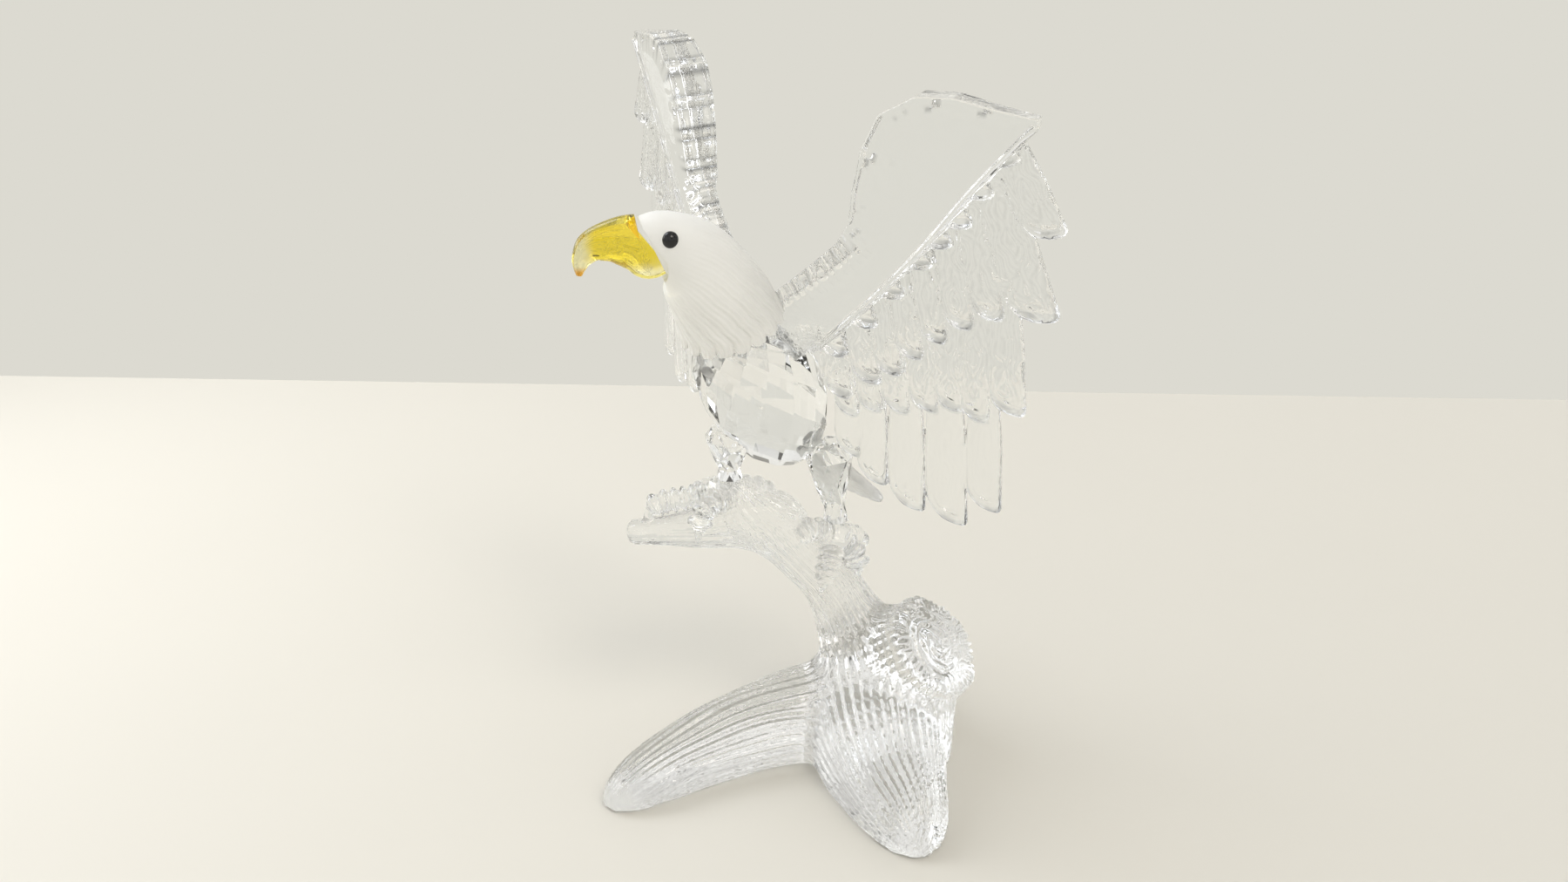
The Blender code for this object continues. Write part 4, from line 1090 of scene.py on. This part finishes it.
class EAGLE_OT_beak(bpy.types.Operator):
    """Make the hooked yellow beak"""
    bl_idname = "eagle.beak"
    bl_label = "Beak"

    def execute(self, context):
        _, colours = sizes_and_colours()
        centre, ahead, *_ = (values[0] for values in station_frames(HEAD_STATIONS))
        first = (*(centre - ahead * 0.3), HEAD_STATIONS[0][3] - 0.25, HEAD_STATIONS[0][4] - 0.25, -31.0)
        rows = curve_through((first,) + tuple((*s[:5], -s[5]) for s in BEAK_STATIONS), 90)
        centres, _, side, over = station_frames(rows)
        grid = ring_grid(centres, side, over, rows[:, 3:4], rows[:, 4:5], ring_angles(96))
        settle(ring_piece("hooked_beak", grid), amber_crystal(colours), "amber_crystal", "beak")
        return {"FINISHED"}


class EAGLE_OT_eyes(bpy.types.Operator):
    """Make the two black eyes"""
    bl_idname = "eagle.eyes"
    bl_label = "Eyes"

    def execute(self, context):
        _, colours = sizes_and_colours()
        material = jet_crystal(colours)
        angles = ring_angles(48)
        rise = np.linspace(-0.5 * math.pi, 0.5 * math.pi, 27)[1:-1, None]
        ball = np.stack(np.broadcast_arrays(
            np.cos(rise) * np.cos(angles), np.cos(rise) * np.sin(angles), np.sin(rise),
        ), axis=-1)
        for node in ("left_eye", "right_eye"):
            low, high = (np.array(corner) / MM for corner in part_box(node))
            radius = 0.5 * (high - low).min()
            piece = ring_piece(node + "_bead", ball * radius + 0.5 * (low + high))
            settle(piece, material, "jet_crystal", node)
        return {"FINISHED"}


class EAGLE_OT_cut_pieces(bpy.types.Operator):
    """Finish the cut body and legs, whose solids already have their facets"""
    bl_idname = "eagle.cut_pieces"
    bl_label = "Body and legs"

    def execute(self, context):
        _, colours = sizes_and_colours()
        material = cut_crystal(colours)
        for name in ("body", "left_leg", "right_leg"):
            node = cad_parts[name]
            node.data.materials.clear()
            node.data.materials.append(material)
        return {"FINISHED"}


class EAGLE_OT_stage(bpy.types.Operator):
    """Make the floor, the surroundings, the lights and the camera"""
    bl_idname = "eagle.stage"
    bl_label = "Stage"

    def execute(self, context):
        _, colours = sizes_and_colours()
        corners = np.array([(x, y, FLOOR_HEIGHT) for x, y in FLOOR_CORNERS])
        floor = make_mesh("floor", corners, np.array(((0, 1, 2, 3),)))
        floor.data.materials.append(stage_paint("floor_paint", colours.floor))
        make_surroundings(colours)
        make_light("left_window", place=(-0.28, 0.07, 0.18), size=0.16, power=0.21)
        data = bpy.data.cameras.new("camera")
        data.sensor_width = 36.0
        data.lens = 30.0
        data.clip_start = 0.001
        camera = bpy.data.objects.new("camera", data)
        camera.location = (-0.014, -0.1968, 0.1513)
        camera.rotation_euler = (math.radians(65.0), 0.0, 0.0)
        bpy.context.scene.collection.objects.link(camera)
        bpy.context.scene.camera = camera
        bpy.context.scene.view_settings.view_transform = "Standard"
        bpy.context.scene.cycles.max_bounces = GLASS_BOUNCES
        bpy.context.scene.cycles.transmission_bounces = GLASS_BOUNCES
        bpy.context.scene.cycles.glossy_bounces = GLASS_BOUNCES
        return {"FINISHED"}


def make_light(name, place, size, power):
    """A soft square light aimed at the bird, which the camera doesn't see."""
    data = bpy.data.lights.new(name, "AREA")
    data.size = size
    data.energy = power
    light = bpy.data.objects.new(name, data)
    light.location = place
    light.rotation_euler = (Vector(place) - Vector(LIGHT_AIM)).to_track_quat("Z", "Y").to_euler()
    light.visible_camera = False
    bpy.context.scene.collection.objects.link(light)


def soft_spot(tree, way, place, angle_deg, softness_deg):
    """1 within an angle of a direction, falling to 0 over the softness beyond it."""
    aim = add_node(tree, "ShaderNodeVectorMath", {"operation": "DOT_PRODUCT"}, {
        0: way, 1: tuple(Vector(place).normalized()),
    })
    start, end = (math.cos(math.radians(angle)) for angle in (angle_deg + softness_deg, angle_deg))
    return ramp(tree, aim.outputs["Value"], start, end, kind="SMOOTHSTEP")


def make_surroundings(colours):
    """The wall's colour up to a little above the horizon; above it a room of light and dark patches, which
    give the glass its accents, with a cool soft window behind on the left and a warm lamp in front on the
    right."""
    world = bpy.data.worlds.new("studio")
    bpy.context.scene.world = world
    world.use_nodes = True
    tree = world.node_tree
    tree.nodes.clear()
    way = add_node(tree, "ShaderNodeTexCoord").outputs["Generated"]
    apart = add_node(tree, "ShaderNodeSeparateXYZ", inputs={"Vector": way})
    patches = ramp(tree, noise(tree, 1.0 / 2.6, 1.0, way), 0.36, 0.46)
    room = blend(tree, patches, (*ROOM_DARK, 1.0), (*ROOM_LIGHT, 1.0))
    height = ramp(tree, apart.outputs["Z"], ROOM_STARTS, ROOM_FULL, kind="SMOOTHSTEP")
    colour = blend(tree, height, (*colours.wall, 1.0), room)
    for place, angle, softness, light in SOFT_LIGHTS:
        colour = blend(tree, soft_spot(tree, way, place, angle, softness), colour, (*light, 1.0))
    background = add_node(tree, "ShaderNodeBackground", inputs={"Color": colour, "Strength": 1.0})
    add_node(tree, "ShaderNodeOutputWorld", inputs={"Surface": background.outputs[0]})


class EAGLE_PT_panel(bpy.types.Panel):
    bl_label = "Crystal eagle"
    bl_idname = "EAGLE_PT_panel"
    bl_space_type = "VIEW_3D"
    bl_region_type = "UI"
    bl_category = "Crystal eagle"

    def draw(self, context):
        for group in (context.scene.eagle_sizes, context.scene.eagle_colours):
            for name in group.__annotations__:
                self.layout.prop(group, name)
        for operator in STEPS:
            self.layout.operator(operator.bl_idname)


STEPS = (
    EAGLE_OT_stand, EAGLE_OT_wings, EAGLE_OT_head, EAGLE_OT_tail, EAGLE_OT_beak, EAGLE_OT_eyes,
    EAGLE_OT_cut_pieces, EAGLE_OT_stage,
)
CLASSES = (EagleSizes, EagleColours) + STEPS + (EAGLE_PT_panel,)


def register():
    for cls in CLASSES:
        bpy.utils.register_class(cls)
    bpy.types.Scene.eagle_sizes = PointerProperty(type=EagleSizes)
    bpy.types.Scene.eagle_colours = PointerProperty(type=EagleColours)


def unregister():
    del bpy.types.Scene.eagle_colours
    del bpy.types.Scene.eagle_sizes
    for cls in reversed(CLASSES):
        bpy.utils.unregister_class(cls)


def main():
    register()
    for step in STEPS:
        category, name = step.bl_idname.split(".")
        getattr(getattr(bpy.ops, category), name)()


if __name__ == "__main__":
    main()
